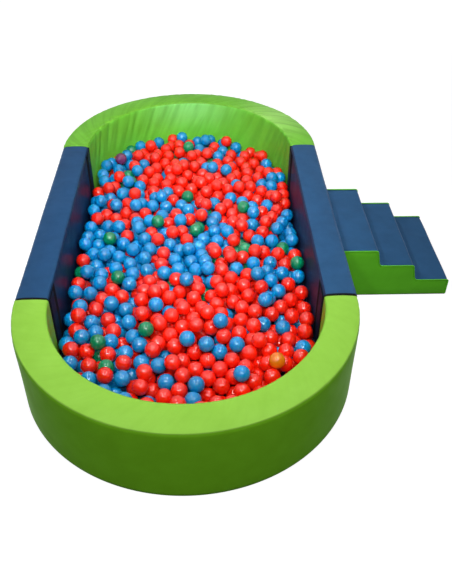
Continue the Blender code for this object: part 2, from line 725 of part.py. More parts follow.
def ball_pool(collection):
    """The settled fill, poured first, and the loose balls dropped onto it."""
    fill = BallFill()
    fill.pour(BALL_COUNT)
    data = fill_mesh("ball_fill", [true_size(ball) for ball in fill.balls])
    place(collection, "ball_fill", data, "red")
    below = BVHTree.FromPolygons([vert.co for vert in data.vertices],
                                 [tuple(face.vertices) for face in data.polygons])
    for name, colour, along_share, across_share in LOOSE_BALL_TABLE_SHARES:
        bm = bmesh.new()
        bmesh.ops.create_icosphere(bm, subdivisions=BALL_SPLIT_COUNT, radius=BALL_RADIUS)
        ball = mesh_from(bm, name, math.pi)
        dropped = true_size(fill.drop_at(along_share, across_share))
        place(collection, name, ball, colour, seated(ball, dropped, below))


def main():
    """Builds the whole ball pit."""
    clear_scene()
    parts = new_collection("ball_pit")
    cutters = new_collection("cutters")
    arc_module(parts, "rear_arc", 1)
    arc_module(parts, "front_arc", -1)
    wall_module(parts, "left_wall", -1)
    wall_module(parts, "right_wall", 1)
    for side, side_name in ((-1, "left"), (1, "right")):
        for sign, end_name in ((1, "rear"), (-1, "front")):
            hook_tape(parts, f"{end_name}_arc_{side_name}_hook_tape", side, sign)
            loop_tape(parts, f"{side_name}_wall_{end_name}_loop_tape", side, sign)
            binding_strip(parts, f"{side_name}_wall_{end_name}_binding", side, sign)
    steps_module(parts)
    floor_mat(parts, cutters)
    ball_pool(parts)


main()
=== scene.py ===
"""Looks of the soft-play ball pit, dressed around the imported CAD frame.

The covers of the wall modules, the steps and the mat are modelled as padded vinyl with seams, pinches and
folds. The fill is modelled ball by ball, from the same settling as the solid that it replaces. Zips,
sliders, base panels, hook-and-loop tapes and bindings are the CAD's own solids with finishes of their own.
"""

import logging
import math
import random
from dataclasses import dataclass, field
from enum import Enum
from typing import Any

import bpy
import numpy as np
from mathutils import Euler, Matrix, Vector
from mathutils.geometry import delaunay_2d_cdt

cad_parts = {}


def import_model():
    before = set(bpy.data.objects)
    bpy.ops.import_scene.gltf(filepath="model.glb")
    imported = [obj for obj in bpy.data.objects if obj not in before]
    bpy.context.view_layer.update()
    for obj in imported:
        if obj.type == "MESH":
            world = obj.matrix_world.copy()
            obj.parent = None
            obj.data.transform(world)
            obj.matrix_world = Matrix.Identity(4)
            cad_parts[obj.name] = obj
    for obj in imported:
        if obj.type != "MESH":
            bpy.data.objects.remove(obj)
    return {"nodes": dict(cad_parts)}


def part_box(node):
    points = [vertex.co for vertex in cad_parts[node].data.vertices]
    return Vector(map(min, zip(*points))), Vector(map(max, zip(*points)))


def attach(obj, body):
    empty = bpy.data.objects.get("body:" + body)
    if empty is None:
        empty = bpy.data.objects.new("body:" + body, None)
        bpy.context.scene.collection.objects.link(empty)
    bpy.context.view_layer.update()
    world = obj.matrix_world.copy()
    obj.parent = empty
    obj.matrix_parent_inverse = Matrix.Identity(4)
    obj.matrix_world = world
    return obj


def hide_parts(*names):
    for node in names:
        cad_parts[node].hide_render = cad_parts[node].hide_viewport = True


LOG = logging.getLogger("ball_pit")
MM = 0.001
WHITE = (1.0, 1.0, 1.0, 1.0)


def linear(code: str) -> tuple[float, float, float, float]:
    """Turns an sRGB hex colour into linear light.

    Args:
        code: Six hex digits, such as "92D04D".

    Returns:
        Red, green, blue and an alpha of 1.
    """
    shares = [int(code[n:n + 2], 16) / 255 for n in (0, 2, 4)]
    parts = [c / 12.92 if c <= 0.04045 else ((c + 0.055) / 1.055) ** 2.4 for c in shares]
    return parts[0], parts[1], parts[2], 1.0


def add_node(tree: bpy.types.NodeTree, kind: str, settings: dict[str, Any] | None = None,
             links: dict[str | int, Any] | None = None) -> bpy.types.Node:
    """Adds a node with its settings, its socket values and its links.

    Args:
        tree: The node tree that the node goes into.
        kind: The node's type name.
        settings: Node properties to set.
        links: For each input, a value or the output socket that feeds it.

    Returns:
        The new node.
    """
    node = tree.nodes.new(kind)
    for name, value in (settings or {}).items():
        setattr(node, name, value)
    for name, value in (links or {}).items():
        if isinstance(value, bpy.types.NodeSocket):
            tree.links.new(value, node.inputs[name])
        else:
            node.inputs[name].default_value = value
    return node


def blank_material(name: str) -> tuple[bpy.types.Material, bpy.types.NodeTree, bpy.types.Node]:
    """Makes a node material.

    Args:
        name: The material's name.

    Returns:
        The material, its node tree and its Principled shader.
    """
    made = bpy.data.materials.new(name)
    made.use_nodes = True
    tree = made.node_tree
    return made, tree, tree.nodes["Principled BSDF"]


def object_place(tree: bpy.types.NodeTree, scale: tuple[float, ...] = (1.0, 1.0, 1.0),
                 shift: tuple[float, ...] = (0.0, 0.0, 0.0)) -> Any:
    """Object coordinates in metres, through a Mapping node.

    Args:
        tree: The material's node tree.
        scale: How much the pattern is squeezed along each axis.
        shift: How far the squeezed coordinates are shifted, which centres the pattern on a place.

    Returns:
        The output socket with the coordinates.
    """
    where = add_node(tree, "ShaderNodeTexCoord")
    links = {"Vector": where.outputs["Object"], "Location": shift, "Scale": scale}
    return add_node(tree, "ShaderNodeMapping", links=links).outputs[0]


def blended(tree: bpy.types.NodeTree, share: Any, colour: Any, other: Any) -> Any:
    """Blends one colour into another.

    Args:
        tree: The material's node tree.
        share: Output socket with how much of the second colour shows.
        colour: The first colour, or the output socket that gives it.
        other: The second colour.

    Returns:
        The output socket with the blend.
    """
    mix = add_node(tree, "ShaderNodeMix", {"data_type": "RGBA"}, {0: share, 6: colour, 7: other})
    return mix.outputs[2]


class Dye(Enum):
    """Colours in which the balls are moulded, as sRGB hex."""

    RED = "FF240D"
    BLUE = "0490D0"
    GREEN = "018C5D"
    PURPLE = "7A2F66"
    ORANGE = "F98A14"


@dataclass(frozen=True)
class PaintedSheen:
    """A pale painted sheen: a whitish wash of painted light in a panel's colour, where the panel would catch
    light, strongest at one place.
    """

    colour: str
    place: tuple[float, float, float]
    reach: tuple[float, float, float]

    def laid_on(self, tree: bpy.types.NodeTree, colour: Any) -> Any:
        """Blends the painted sheen into a skin's colour.

        Args:
            tree: The material's node tree.
            colour: Output socket of the skin's colour.

        Returns:
            Output socket of the colour with the painted sheen.
        """
        scale = tuple(1 / size for size in self.reach)
        start = tuple(-at * part for at, part in zip(self.place, scale))
        centred = object_place(tree, scale, start)
        away = add_node(tree, "ShaderNodeVectorMath", {"operation": "LENGTH"}, {0: centred})
        share = add_node(tree, "ShaderNodeMapRange", {"interpolation_type": "SMOOTHSTEP"},
                         {"Value": away.outputs["Value"], "To Min": 1.0, "To Max": 0.0})
        return blended(tree, share.outputs[0], colour, linear(self.colour))


@dataclass(frozen=True)
class PaintedFoldShade:
    """Long soft streaks of painted shade: a darker tone laid into a cover's colour where its folds would be
    shaded.

    A streak leans by so many metres along the module for each metre round its section, and the share is
    how much of its colour shows at most.
    """

    colour: str
    width: float
    length: float
    lean: float
    share: float = 0.6

    def laid_on(self, tree: bpy.types.NodeTree, colour: Any) -> Any:
        """Blends the painted fold shade into a skin's colour, along the UV map in metres.

        Args:
            tree: The material's node tree.
            colour: Output socket of the skin's colour.

        Returns:
            Output socket of the colour with the streaks.
        """
        flat = add_node(tree, "ShaderNodeUVMap", {"uv_map": "sewing"})
        part = add_node(tree, "ShaderNodeSeparateXYZ", links={0: flat.outputs[0]})
        slid = add_node(tree, "ShaderNodeMath", {"operation": "MULTIPLY_ADD"},
                        {0: part.outputs["Y"], 1: self.lean, 2: part.outputs["X"]})
        # Streak widths and lengths are real ones, in metres
        across, along = (
            add_node(tree, "ShaderNodeMath", {"operation": "DIVIDE"}, {0: run, 1: size})
            for run, size in ((slid.outputs[0], self.width), (part.outputs["Y"], self.length)))
        where = add_node(tree, "ShaderNodeCombineXYZ", links={0: across.outputs[0], 1: along.outputs[0]})
        noise = add_node(tree, "ShaderNodeTexNoise", {"noise_dimensions": "2D"},
                         {"Vector": where.outputs[0], "Scale": 1.0, "Detail": 2.5, "Roughness": 0.6})
        share = add_node(tree, "ShaderNodeMapRange", links={
            "Value": noise.outputs["Fac"], "From Min": 0.42, "From Max": 0.68, "To Max": self.share})
        return blended(tree, share.outputs[0], colour, linear(self.colour))


@dataclass(frozen=True)
class CoatedVinyl:
    """PVC-coated polyester fabric, calendered with a fine leather grain: an even satin skin.

    Its colour drifts towards the shade in clouds, and the gleam is its specular level. Painted sheen and
    painted fold shade can be laid over its colour.
    """

    name: str
    colour: str
    shade: str
    roughness: float = 0.42
    gleam: float = 0.16
    grain: float = 2.4 * MM
    cloud: float = 90 * MM
    grain_depth: float = 0.10 * MM
    drape: float = 28 * MM
    drape_depth: float = 6.0
    painted_light_and_shade: tuple[PaintedSheen | PaintedFoldShade, ...] = ()

    def material(self) -> bpy.types.Material:
        """Makes the material. Its UV map runs along the piece and round its section, in metres."""
        made, tree, shader = blank_material(self.name)
        place = object_place(tree)
        # Cloudy tone of a printed and handled skin, about 90 mm across
        cloud = add_node(tree, "ShaderNodeTexNoise", links={
            "Vector": place, "Scale": 1 / self.cloud, "Detail": 4.0, "Roughness": 0.55})
        tone = add_node(tree, "ShaderNodeMapRange", links={
            "Value": cloud.outputs["Fac"], "From Min": 0.35, "From Max": 0.70})
        colour = blended(tree, tone.outputs[0], linear(self.colour), linear(self.shade))
        # Pebbled grain: real pebbles are about 1 mm, drawn at 2.4 mm so that they show
        pebbles = add_node(tree, "ShaderNodeTexVoronoi", {"feature": "SMOOTH_F1"},
                           {"Vector": place, "Scale": 1 / self.grain, "Smoothness": 0.6})
        # Low waves of the cloth under the coating, about 28 mm across and six pebbles deep
        drape = add_node(tree, "ShaderNodeTexNoise", links={
            "Vector": place, "Scale": 1 / self.drape, "Detail": 3.0})
        height = add_node(tree, "ShaderNodeMath", {"operation": "MULTIPLY_ADD"},
                          {0: drape.outputs["Fac"], 1: self.drape_depth, 2: pebbles.outputs["Distance"]})
        skin = add_node(tree, "ShaderNodeBump", links={
            "Height": height.outputs[0], "Strength": 0.55, "Distance": self.grain_depth})
        # Painted sheen and painted fold shade, laid over the colour
        for painted_layer in self.painted_light_and_shade:
            colour = painted_layer.laid_on(tree, colour)
        gloss = add_node(tree, "ShaderNodeMapRange", links={
            "Value": cloud.outputs["Fac"], "To Min": self.roughness - 0.05, "To Max": self.roughness + 0.07})
        tree.links.new(colour, shader.inputs["Base Color"])
        tree.links.new(gloss.outputs[0], shader.inputs["Roughness"])
        tree.links.new(skin.outputs[0], shader.inputs["Normal"])
        shader.inputs["Specular IOR Level"].default_value = self.gleam
        return made


@dataclass(frozen=True)
class BlownPolyethylene:
    """Blow-moulded polyethylene of the balls: waxy gloss, a mould line round the middle, light shining in."""

    dye: Dye
    roughness: float = 0.05
    gleam: float = 0.55
    milkiness: float = 0.60
    soak: float = 28 * MM
    line: float = 0.035
    scuff: float = 9 * MM
    dulling: float = 0.04

    def material(self) -> bpy.types.Material:
        """Makes the material. Each ball's own place comes from the attribute "ball_place"."""
        made, tree, shader = blank_material(f"polyethylene_{self.dye.name.lower()}")
        tint = add_node(tree, "ShaderNodeAttribute", {"attribute_name": "ball_tint"})
        own = add_node(tree, "ShaderNodeAttribute", {"attribute_name": "ball_place"})
        bright = add_node(tree, "ShaderNodeMapRange", links={
            "Value": tint.outputs["Fac"], "To Min": 0.86, "To Max": 1.10})
        colour = add_node(tree, "ShaderNodeHueSaturation", links={
            "Color": linear(self.dye.value), "Value": bright.outputs[0]})
        # Parting line of the two mould halves, drawn 2.8 mm wide where the real one is about 1 mm
        height = add_node(tree, "ShaderNodeSeparateXYZ", links={0: own.outputs["Vector"]})
        off = add_node(tree, "ShaderNodeMath", {"operation": "ABSOLUTE"}, {0: height.outputs["Z"]})
        line = add_node(tree, "ShaderNodeMapRange", {"interpolation_type": "SMOOTHSTEP"}, {
            "Value": off.outputs[0], "From Min": 0.0, "From Max": self.line, "To Min": 1.0, "To Max": 0.0})
        # Scuffs from play: a cloud of duller spots about 9 mm across
        scuffs = add_node(tree, "ShaderNodeTexNoise", links={
            "Vector": object_place(tree), "Scale": 1 / self.scuff, "Detail": 3.0})
        gloss = add_node(tree, "ShaderNodeMapRange", links={
            "Value": scuffs.outputs["Fac"], "From Min": 0.4, "To Min": self.roughness,
            "To Max": self.roughness + self.dulling})
        bump = add_node(tree, "ShaderNodeBump", links={
            "Height": line.outputs[0], "Strength": 0.35, "Distance": 0.4 * MM})
        tree.links.new(colour.outputs[0], shader.inputs["Base Color"])
        tree.links.new(gloss.outputs[0], shader.inputs["Roughness"])
        tree.links.new(bump.outputs[0], shader.inputs["Normal"])
        # Light that soaks into the thin milky wall and comes out beside the shadow
        shader.inputs["Subsurface Weight"].default_value = self.milkiness
        shader.inputs["Subsurface Radius"].default_value = (1.0, 0.4, 0.3)
        shader.inputs["Subsurface Scale"].default_value = self.soak
        shader.inputs["IOR"].default_value = 1.51
        shader.inputs["Specular IOR Level"].default_value = self.gleam
        return made


@dataclass(frozen=True)
class NappedTape:
    """Black hook-and-loop tape: a matt nap of loops, about 1 mm each, drawn at 2 mm."""

    name: str = "hook_and_loop_tape"
    colour: str = "101012"
    tips: str = "26262A"
    loops: float = 2 * MM

    def material(self) -> bpy.types.Material:
        """Makes the material."""
        made, tree, shader = blank_material(self.name)
        nap = add_node(tree, "ShaderNodeTexVoronoi", links={
            "Vector": object_place(tree), "Scale": 1 / self.loops})
        tone = blended(tree, nap.outputs["Distance"], linear(self.colour), linear(self.tips))
        bump = add_node(tree, "ShaderNodeBump", links={
            "Height": nap.outputs["Distance"], "Strength": 0.6, "Distance": 0.5 * MM})
        tree.links.new(tone, shader.inputs["Base Color"])
        tree.links.new(bump.outputs[0], shader.inputs["Normal"])
        shader.inputs["Roughness"].default_value = 0.92
        shader.inputs["Specular IOR Level"].default_value = 0.05
        return made


@dataclass(frozen=True)
class WovenFabric:
    """Plain-woven polyester, for base panels and zip tapes: crossing threads under a thin coating."""

    name: str
    colour: str
    thread: float = 2.5 * MM
    roughness: float = 0.8
    rubbed: str = "3A3A3E"
    patch: float = 120 * MM

    def material(self) -> bpy.types.Material:
        """Makes the material. Real threads are under 1 mm apart, drawn 2 to 4 mm apart so that they show."""
        made, tree, shader = blank_material(self.name)
        place = object_place(tree)
        # A wave texture of scale 1 has a band every 0.314 m
        waves = [add_node(tree, "ShaderNodeTexWave", {"bands_direction": way}, {
            "Vector": place, "Scale": 0.314 / self.thread, "Distortion": 0.3}) for way in ("X", "Y")]
        weave = add_node(tree, "ShaderNodeMath", {"operation": "MAXIMUM"},
                         {0: waves[0].outputs["Fac"], 1: waves[1].outputs["Fac"]})
        # Rubbed patches, about 120 mm across
        wear = add_node(tree, "ShaderNodeTexNoise", links={"Vector": place, "Scale": 1 / self.patch})
        tone = blended(tree, wear.outputs["Fac"], linear(self.colour), linear(self.rubbed))
        bump = add_node(tree, "ShaderNodeBump", links={
            "Height": weave.outputs[0], "Strength": 0.5, "Distance": 0.3 * MM})
        tree.links.new(tone, shader.inputs["Base Color"])
        tree.links.new(bump.outputs[0], shader.inputs["Normal"])
        shader.inputs["Roughness"].default_value = self.roughness
        return made


@dataclass(frozen=True)
class PlatedZinc:
    """Die-cast zinc with nickel plating, for the zip sliders: fine tumbled scratches in a bright skin."""

    name: str = "plated_zinc"
    colour: str = "C9CBCE"
    scratch: float = 3 * MM

    def material(self) -> bpy.types.Material:
        """Makes the material."""
        made, tree, shader = blank_material(self.name)
        # Scratches are about 3 mm long and six times finer across
        scratches = add_node(tree, "ShaderNodeTexNoise", links={
            "Vector": object_place(tree, (1.0, 6.0, 1.0)), "Scale": 1 / self.scratch, "Detail": 5.0})
        gloss = add_node(tree, "ShaderNodeMapRange", links={
            "Value": scratches.outputs["Fac"], "To Min": 0.22, "To Max": 0.45})
        tree.links.new(gloss.outputs[0], shader.inputs["Roughness"])
        shader.inputs["Base Color"].default_value = linear(self.colour)
        shader.inputs["Metallic"].default_value = 1.0
        return made


@dataclass(frozen=True)
class CoverPanels:
    """The vinyl of a wall cover's three panels: inner face, top and outer face, each a lit or shaded copy of
    one vinyl.
    """

    inner: CoatedVinyl
    top: CoatedVinyl
    outer: CoatedVinyl


# Lit and shaded copies of one vinyl: each panel's colour holds painted light or painted shade for the light
# that falls on it, so the lime outer faces, the rear top, the navy inner faces and the left top are painted
# darker
LIME_OUTER = CoatedVinyl("lime_vinyl_outer", "7EC826", "79C022", gleam=0.008)
# Painted fold shade in darker streaks on the front top
FRONT_LIME = CoverPanels(
    CoatedVinyl("lime_vinyl_front_inner", "88CB3C", "80C236"),
    CoatedVinyl("lime_vinyl_front_top", "97D14C", "91CB46", gleam=0.10,
                painted_light_and_shade=(PaintedFoldShade("86C03E", 0.040, 0.16, 0.6, 0.20),)),
    LIME_OUTER)
# Painted sheen on the upper middle of the rear inner face and on the right of the rear top, and painted fold
# shade in darker streaks on both
REAR_LIME = CoverPanels(
    CoatedVinyl("lime_vinyl_rear_inner", "7BD846", "73D03E",
                painted_light_and_shade=(PaintedSheen("94EC82", (0.0, 1.35, 0.41), (0.48, 0.50, 0.28)),
                       PaintedFoldShade("5FB532", 0.065, 0.45, 0.50, 0.42))),
    CoatedVinyl("lime_vinyl_rear_top", "7ECC40", "78C53B", gleam=0.08,
                painted_light_and_shade=(PaintedSheen("ACE977", (0.60, 1.16, 0.40), (0.40, 0.40, 0.30)),
                       PaintedFoldShade("68AE32", 0.035, 0.30, 1.2, 0.5))),
    LIME_OUTER)
STEP_LIME = CoatedVinyl("lime_vinyl_steps", "6BCE2B", "65C627", gleam=0.08)
NAVY = CoatedVinyl("navy_vinyl", "315C86", "2D557D", roughness=0.40, gleam=0.04)
BINDING = CoatedVinyl("navy_vinyl_binding", "14243C", "101D31", roughness=0.45, gleam=0.04)
# Painted shade: the navy inner faces and the left top are darker copies of the navy vinyl
LEFT_NAVY = CoverPanels(
    CoatedVinyl("navy_vinyl_left_inner", "152F52", "12294A", roughness=0.40, gleam=0.08),
    CoatedVinyl("navy_vinyl_left_top", "2A517A", "274B72", roughness=0.40, gleam=0.04), NAVY)
RIGHT_NAVY = CoverPanels(
    CoatedVinyl("navy_vinyl_right_inner", "222D4E", "1E2746", roughness=0.40, gleam=0.08),
    CoatedVinyl("navy_vinyl_right_top", "315A83", "2D537A", roughness=0.40, gleam=0.04), NAVY)
TAPE = NappedTape()
BASE = WovenFabric("non_slip_base_fabric", "1E1E21", thread=4 * MM)
ZIP = WovenFabric("nylon_zip_tape", "151517", thread=2 * MM, roughness=0.7)
SLIDER = PlatedZinc()


def deselect_all() -> None:
    """Leaves nothing selected, so that an operator acts only on what is chosen next."""
    bpy.ops.object.select_all(action="DESELECT")


def choose(piece: bpy.types.Object) -> None:
    """Selects a piece alone and makes it active.

    Args:
        piece: The piece.
    """
    deselect_all()
    piece.select_set(True)
    bpy.context.view_layer.objects.active = piece


def new_piece(name: str, verts: np.ndarray, faces: list[tuple[int, ...]]) -> bpy.types.Object:
    """Makes a smooth-shaded mesh object from points and faces.

    Args:
        name: The piece's name.
        verts: Points in metres, one row each.
        faces: Corner indices of each face.

    Returns:
        The new object, at the origin.
    """
    data = bpy.data.meshes.new(name)
    data.from_pydata(verts.tolist(), [], faces)
    data.shade_smooth()
    made = bpy.data.objects.new(name, data)
    bpy.context.scene.collection.objects.link(made)
    return made


def outward(piece: bpy.types.Object) -> None:
    """Turns a closed piece's faces outwards by recalculating its normals in edit mode.

    Args:
        piece: The piece.
    """
    choose(piece)
    bpy.ops.object.mode_set(mode="EDIT")
    bpy.ops.mesh.select_all(action="SELECT")
    bpy.ops.mesh.normals_make_consistent(inside=False)
    bpy.ops.object.mode_set(mode="OBJECT")
    piece.select_set(False)


def dress(piece: bpy.types.Object, material: bpy.types.Material) -> None:
    """Gives a piece one material.

    Args:
        piece: The piece or CAD node.
        material: Its material.
    """
    piece.data.materials.clear()
    piece.data.materials.append(material)


def smooth_noise(rng: random.Random, count: int) -> np.ndarray:
    """Random values for a smooth curve through evenly spaced knots.

    Args:
        rng: Seeded source.
        count: How many knots.

    Returns:
        Values between -1 and 1.
    """
    return np.array([rng.uniform(-1.0, 1.0) for _ in range(count)])


def wander(knots: np.ndarray, place: np.ndarray, spacing: float) -> np.ndarray:
    """A smooth random curve.

    Args:
        knots: Values from smooth_noise.
        place: Where along the curve, in metres.
        spacing: Distance between knots in metres.

    Returns:
        The curve's value at each place.
    """
    spot = place / spacing
    low = np.floor(spot).astype(int)
    share = spot - low
    share = share * share * (3.0 - 2.0 * share)
    return knots[low % len(knots)] * (1.0 - share) + knots[(low + 1) % len(knots)] * share


@dataclass
class Fold:
    """One fold that starts at a seam and dies away from it, with a low wide swell beside it."""

    centre: float
    width: float
    depth: float
    reach: float
    tilt: float
    swell: float = 0.55
    swell_spread: float = 6.0

    def press(self, along: np.ndarray, away: np.ndarray) -> np.ndarray:
        """How far the fold presses the skin in, with a low swell at each side.

        Args:
            along: Distance along the seam in metres.
            away: Distance from the seam in metres.

        Returns:
            Depth in metres, negative inwards.
        """
        off = (along - self.centre - self.tilt * away) / self.width
        shape = np.exp(-off * off) - self.swell * np.exp(-off * off / self.swell_spread)
        return -self.depth * shape * np.exp(-((away / self.reach) ** 2))


@dataclass
class FoldStyle:
    """How the folds along one seam look, with ranges in metres. The gaps are shares of the spacing."""

    spacing: float
    width: tuple[float, float]
    depth: tuple[float, float]
    reach: tuple[float, float]
    tilt: float = 0.15
    lean: float = 0.0
    first_gap: tuple[float, float] = (0.2, 1.0)
    gap: tuple[float, float] = (0.45, 1.6)

    def scatter(self, rng: random.Random, length: float, way: int) -> list[Fold]:
        """Strews folds along a seam.

        Args:
            rng: Seeded source.
            length: The seam's length in metres.
            way: 1 where the panel comes after its seam along the section, -1 where it comes before.

        Returns:
            The folds.
        """
        folds = []
        at = rng.uniform(*self.first_gap) * self.spacing
        while at < length:
            width, depth, reach = (rng.uniform(*limits) for limits in (self.width, self.depth, self.reach))
            folds.append(Fold(at, width, depth, reach, rng.uniform(-self.tilt, self.tilt) - way * self.lean))
            at += self.spacing * rng.uniform(*self.gap)
        return folds


@dataclass
class WallSection:
    """Cross-section of a padded wall: across is outwards from the pit, up is height.

    Its two seams lie on the rounded top edges. A share of 0 puts a seam where the edge leaves the upright
    face, and 1 where it meets the flat top.
    """

    thickness: float = 0.160
    height: float = 0.400
    edge_radius: float = 0.018
    crown: float = 0.003
    rim: float = 0.0006
    foot: float = 0.0018
    skin: float = 0.0015
    channel_width: float = 0.034
    channel_depth: float = 0.014
    face_step: float = 0.014
    top_step: float = 0.008
    corner_steps: int = 7
    inner_share: float = 0.5
    outer_share: float = 0.5

    def __post_init__(self) -> None:
        """Lays the section's points, from the inner foot over the top to the outer foot and back below."""
        half = self.thickness / 2
        shoulder = self.height - self.crown - self.edge_radius
        levels = np.linspace(self.rim, shoulder, int((shoulder - self.rim) / self.face_step))
        corner = np.linspace(0.0, math.pi / 2, self.corner_steps + 1)[1:]
        flat = half - self.edge_radius
        tops = np.linspace(-flat, flat, int(2 * flat / self.top_step) + 1)
        points = [(-half, up, -1.0, 0.0) for up in levels]
        edge = [(math.cos(a), math.sin(a)) for a in corner]
        radius = self.edge_radius
        points += [(-flat - radius * c, shoulder + radius * s, -c, s) for c, s in edge]
        points += [(x, self.height - self.crown * (x / flat) ** 2, 0.0, 1.0) for x in tops[1:-1]]
        points += [(flat + radius * c, shoulder + radius * s, c, s) for c, s in edge[::-1]]
        points += [(half, up, 1.0, 0.0) for up in levels[::-1]]
        self.shown = len(points)
        side, roof, inner = self.channel_width / 2, self.foot + self.channel_depth, half - self.skin
        below = [(inner, self.rim), (inner, self.foot), (side, self.foot), (side, roof)]
        below += [(-x, z) for x, z in below[::-1]]
        points += [(x, z, 0.0, 0.0) for x, z in below]
        table = np.array(points)
        self.across, self.up, self.normal_across, self.normal_up = table.T
        steps = np.hypot(np.diff(self.across[:self.shown]), np.diff(self.up[:self.shown]))
        self.girth = np.concatenate([[0.0], np.cumsum(steps), np.full(len(points) - self.shown, 0.0)])
        arc = self.edge_radius * math.pi / 2
        self.inner_seam = shoulder - self.rim + self.inner_share * arc
        self.outer_seam = self.girth[self.shown - 1] - (shoulder - self.rim + self.outer_share * arc)


class WallShape(Enum):
    """Whether a wall module is a half ring or straight."""

    HALF_RING = "half ring"
    STRAIGHT = "straight"


@dataclass
class PaddedWall:
    """A wall module's foam and cover: a lofted, pinched and folded skin over a firm block.

    The skin sinks by the bulge and the seam's own depth towards each seam. A fold dies away far_side
    times faster past its seam. Each of the waves, of a cover stretched by hand, has its height, its
    slant round the section, its knots' spacing and their number. The tape room keeps the inner face of
    a straight wall behind the tape that is turned round its corner.
    """

    name: str
    body: str
    shape: WallShape
    side: int
    panels: CoverPanels
    seed: int
    mid_radius: float = 0.720
    half_straight: float = 0.750
    joint_gap: float = 0.0033
    step: float = 0.010
    end_radius: float = 0.007
    bulge: float = 0.0022
    bulge_reach: float = 0.020
    seam_depth: float = 0.0014
    seam_width: float = 0.0035
    far_side: float = 6.0
    waves: tuple[tuple[float, float, float, int], ...] = ((0.0010, 0.9, 0.23, 41), (0.0006, -0.5, 0.11, 67))
    foot_fade: float = 0.03
    tape_edge: float = 0.0070
    tape_room: float = 0.0004
    tape_margin: float = 0.004
    section: WallSection = field(default_factory=WallSection)
    inner_folds: FoldStyle = field(default_factory=lambda: FoldStyle(
        0.060, (0.006, 0.016), (0.0004, 0.0016), (0.05, 0.18), 0.10))
    outer_folds: FoldStyle = field(default_factory=lambda: FoldStyle(
        0.075, (0.008, 0.020), (0.0004, 0.0014), (0.04, 0.14), 0.20))
    top_folds: FoldStyle = field(default_factory=lambda: FoldStyle(
        0.050, (0.005, 0.012), (0.0003, 0.0011), (0.020, 0.060), 0.30))

    def length(self) -> float:
        """Length of the module's middle line in metres."""
        if self.shape is WallShape.HALF_RING:
            return math.pi * self.mid_radius
        return 2 * self.half_straight - self.joint_gap

    def stations(self) -> np.ndarray:
        """Places along the middle line, close together where the ends are rounded."""
        length = self.length()
        near = self.end_radius * np.array([0.0, 0.07, 0.22, 0.45, 0.72, 1.0])
        middle = np.linspace(self.end_radius, length - self.end_radius, int(length / self.step))
        return np.concatenate([near, middle[1:-1], length - near[::-1]])

    def rounding(self, along: np.ndarray) -> np.ndarray:
        """How far the section draws in near the rounded ends.

        Args:
            along: Places along the middle line.

        Returns:
            Depth in metres, zero or negative.
        """
        off = np.minimum(along, self.length() - along)
        rest = np.clip(self.end_radius - off, 0.0, self.end_radius)
        return np.sqrt(self.end_radius ** 2 - rest ** 2) - self.end_radius

    def depth(self, along: np.ndarray, girth: np.ndarray) -> np.ndarray:
        """Relief of the skin over the firm block.

        Args:
            along: Places along the middle line, as a column.
            girth: Places round the section, as a row.

        Returns:
            Height of the skin over the CAD's section in metres.
        """
        rng = random.Random(self.seed)
        section = self.section
        total = girth.max()
        inner, outer = section.inner_seam, section.outer_seam
        near_seam = np.minimum(np.abs(girth - inner), np.abs(girth - outer))
        relief = -self.bulge * np.exp(-near_seam / self.bulge_reach)
        relief = relief - self.seam_depth * np.exp(-((near_seam / self.seam_width) ** 2))
        relief = relief + np.zeros_like(along)
        length = self.length()
        for style, seam, way in ((self.inner_folds, inner, -1), (self.top_folds, inner, 1),
                                 (self.top_folds, outer, -1), (self.outer_folds, outer, 1)):
            away = way * (girth - seam)
            reach = np.where(away >= 0.0, away, -self.far_side * away)
            for fold in style.scatter(rng, length, way):
                relief = relief + fold.press(along, reach)
        for height, slant, spacing, knots in self.waves:
            relief = relief + height * wander(smooth_noise(rng, knots), along + slant * girth, spacing)
        lowest = np.minimum(girth, total - girth)
        return relief * (1.0 - np.exp(-(lowest / self.foot_fade) ** 2))

    def make(self) -> bpy.types.Object:
        """Lofts the module's skin.

        Returns:
            The closed piece, at its place in the frame.
        """
        section = self.section
        along = self.stations()[:, None]
        girth = section.girth[None, :]
        relief = self.depth(along, girth)
        relief[:, section.shown:] = 0.0
        if self.shape is WallShape.STRAIGHT:
            inner_side = section.girth[None, :] < section.inner_seam + self.tape_margin
            inner_side[:, section.shown:] = False
            relief = np.where(inner_side, np.minimum(relief, -self.tape_room), relief)
        inset = self.rounding(along)
        relief = relief + inset
        across = section.across + section.normal_across * relief
        up = section.up + section.normal_up * relief
        hidden = slice(section.shown, None)
        across[:, hidden] = section.across[hidden] - np.sign(section.across[hidden]) * np.abs(inset)
        verts = self.placed(along, across, up)
        rings, ring = verts.shape[0], verts.shape[1]
        faces = []
        for i in range(rings - 1):
            low, high = i * ring, (i + 1) * ring
            faces += [(low + j, low + (j + 1) % ring, high + (j + 1) % ring, high + j) for j in range(ring)]
        faces += [tuple(range(ring)), tuple(range((rings - 1) * ring, rings * ring))]
        piece = new_piece(self.name, verts.reshape(-1, 3), faces)
        self.finish(piece, along[:, 0])
        self.sew(piece, np.broadcast_to(along, across.shape), np.broadcast_to(girth, across.shape))
        outward(piece)
        return piece

    def placed(self, along: np.ndarray, across: np.ndarray, up: np.ndarray) -> np.ndarray:
        """Puts the section's points at their places round the pit.

        Args:
            along: Places along the middle line, as a column.
            across: Distance outwards from the middle line.
            up: Height.

        Returns:
            Points by station and place in the section.
        """
        if self.shape is WallShape.HALF_RING:
            turn = along / self.mid_radius
            out = self.mid_radius + across
            middle = self.half_straight + self.joint_gap / 2
            x, y = out * np.cos(turn), middle + out * np.sin(turn)
            return np.stack([self.side * x, self.side * y, up], axis=-1)
        y = along - self.length() / 2 + np.zeros_like(across)
        return np.stack([self.side * (self.mid_radius + across), y, up], axis=-1)

    def finish(self, piece: bpy.types.Object, along: np.ndarray) -> None:
        """Gives each panel of the cover its vinyl, and the tape's edge that shows in a navy wall's joints.

        Args:
            piece: The lofted piece.
            along: Place of each ring of points along the module.
        """
        for material in (self.panels.inner, self.panels.top, self.panels.outer, TAPE):
            piece.data.materials.append(material.material())
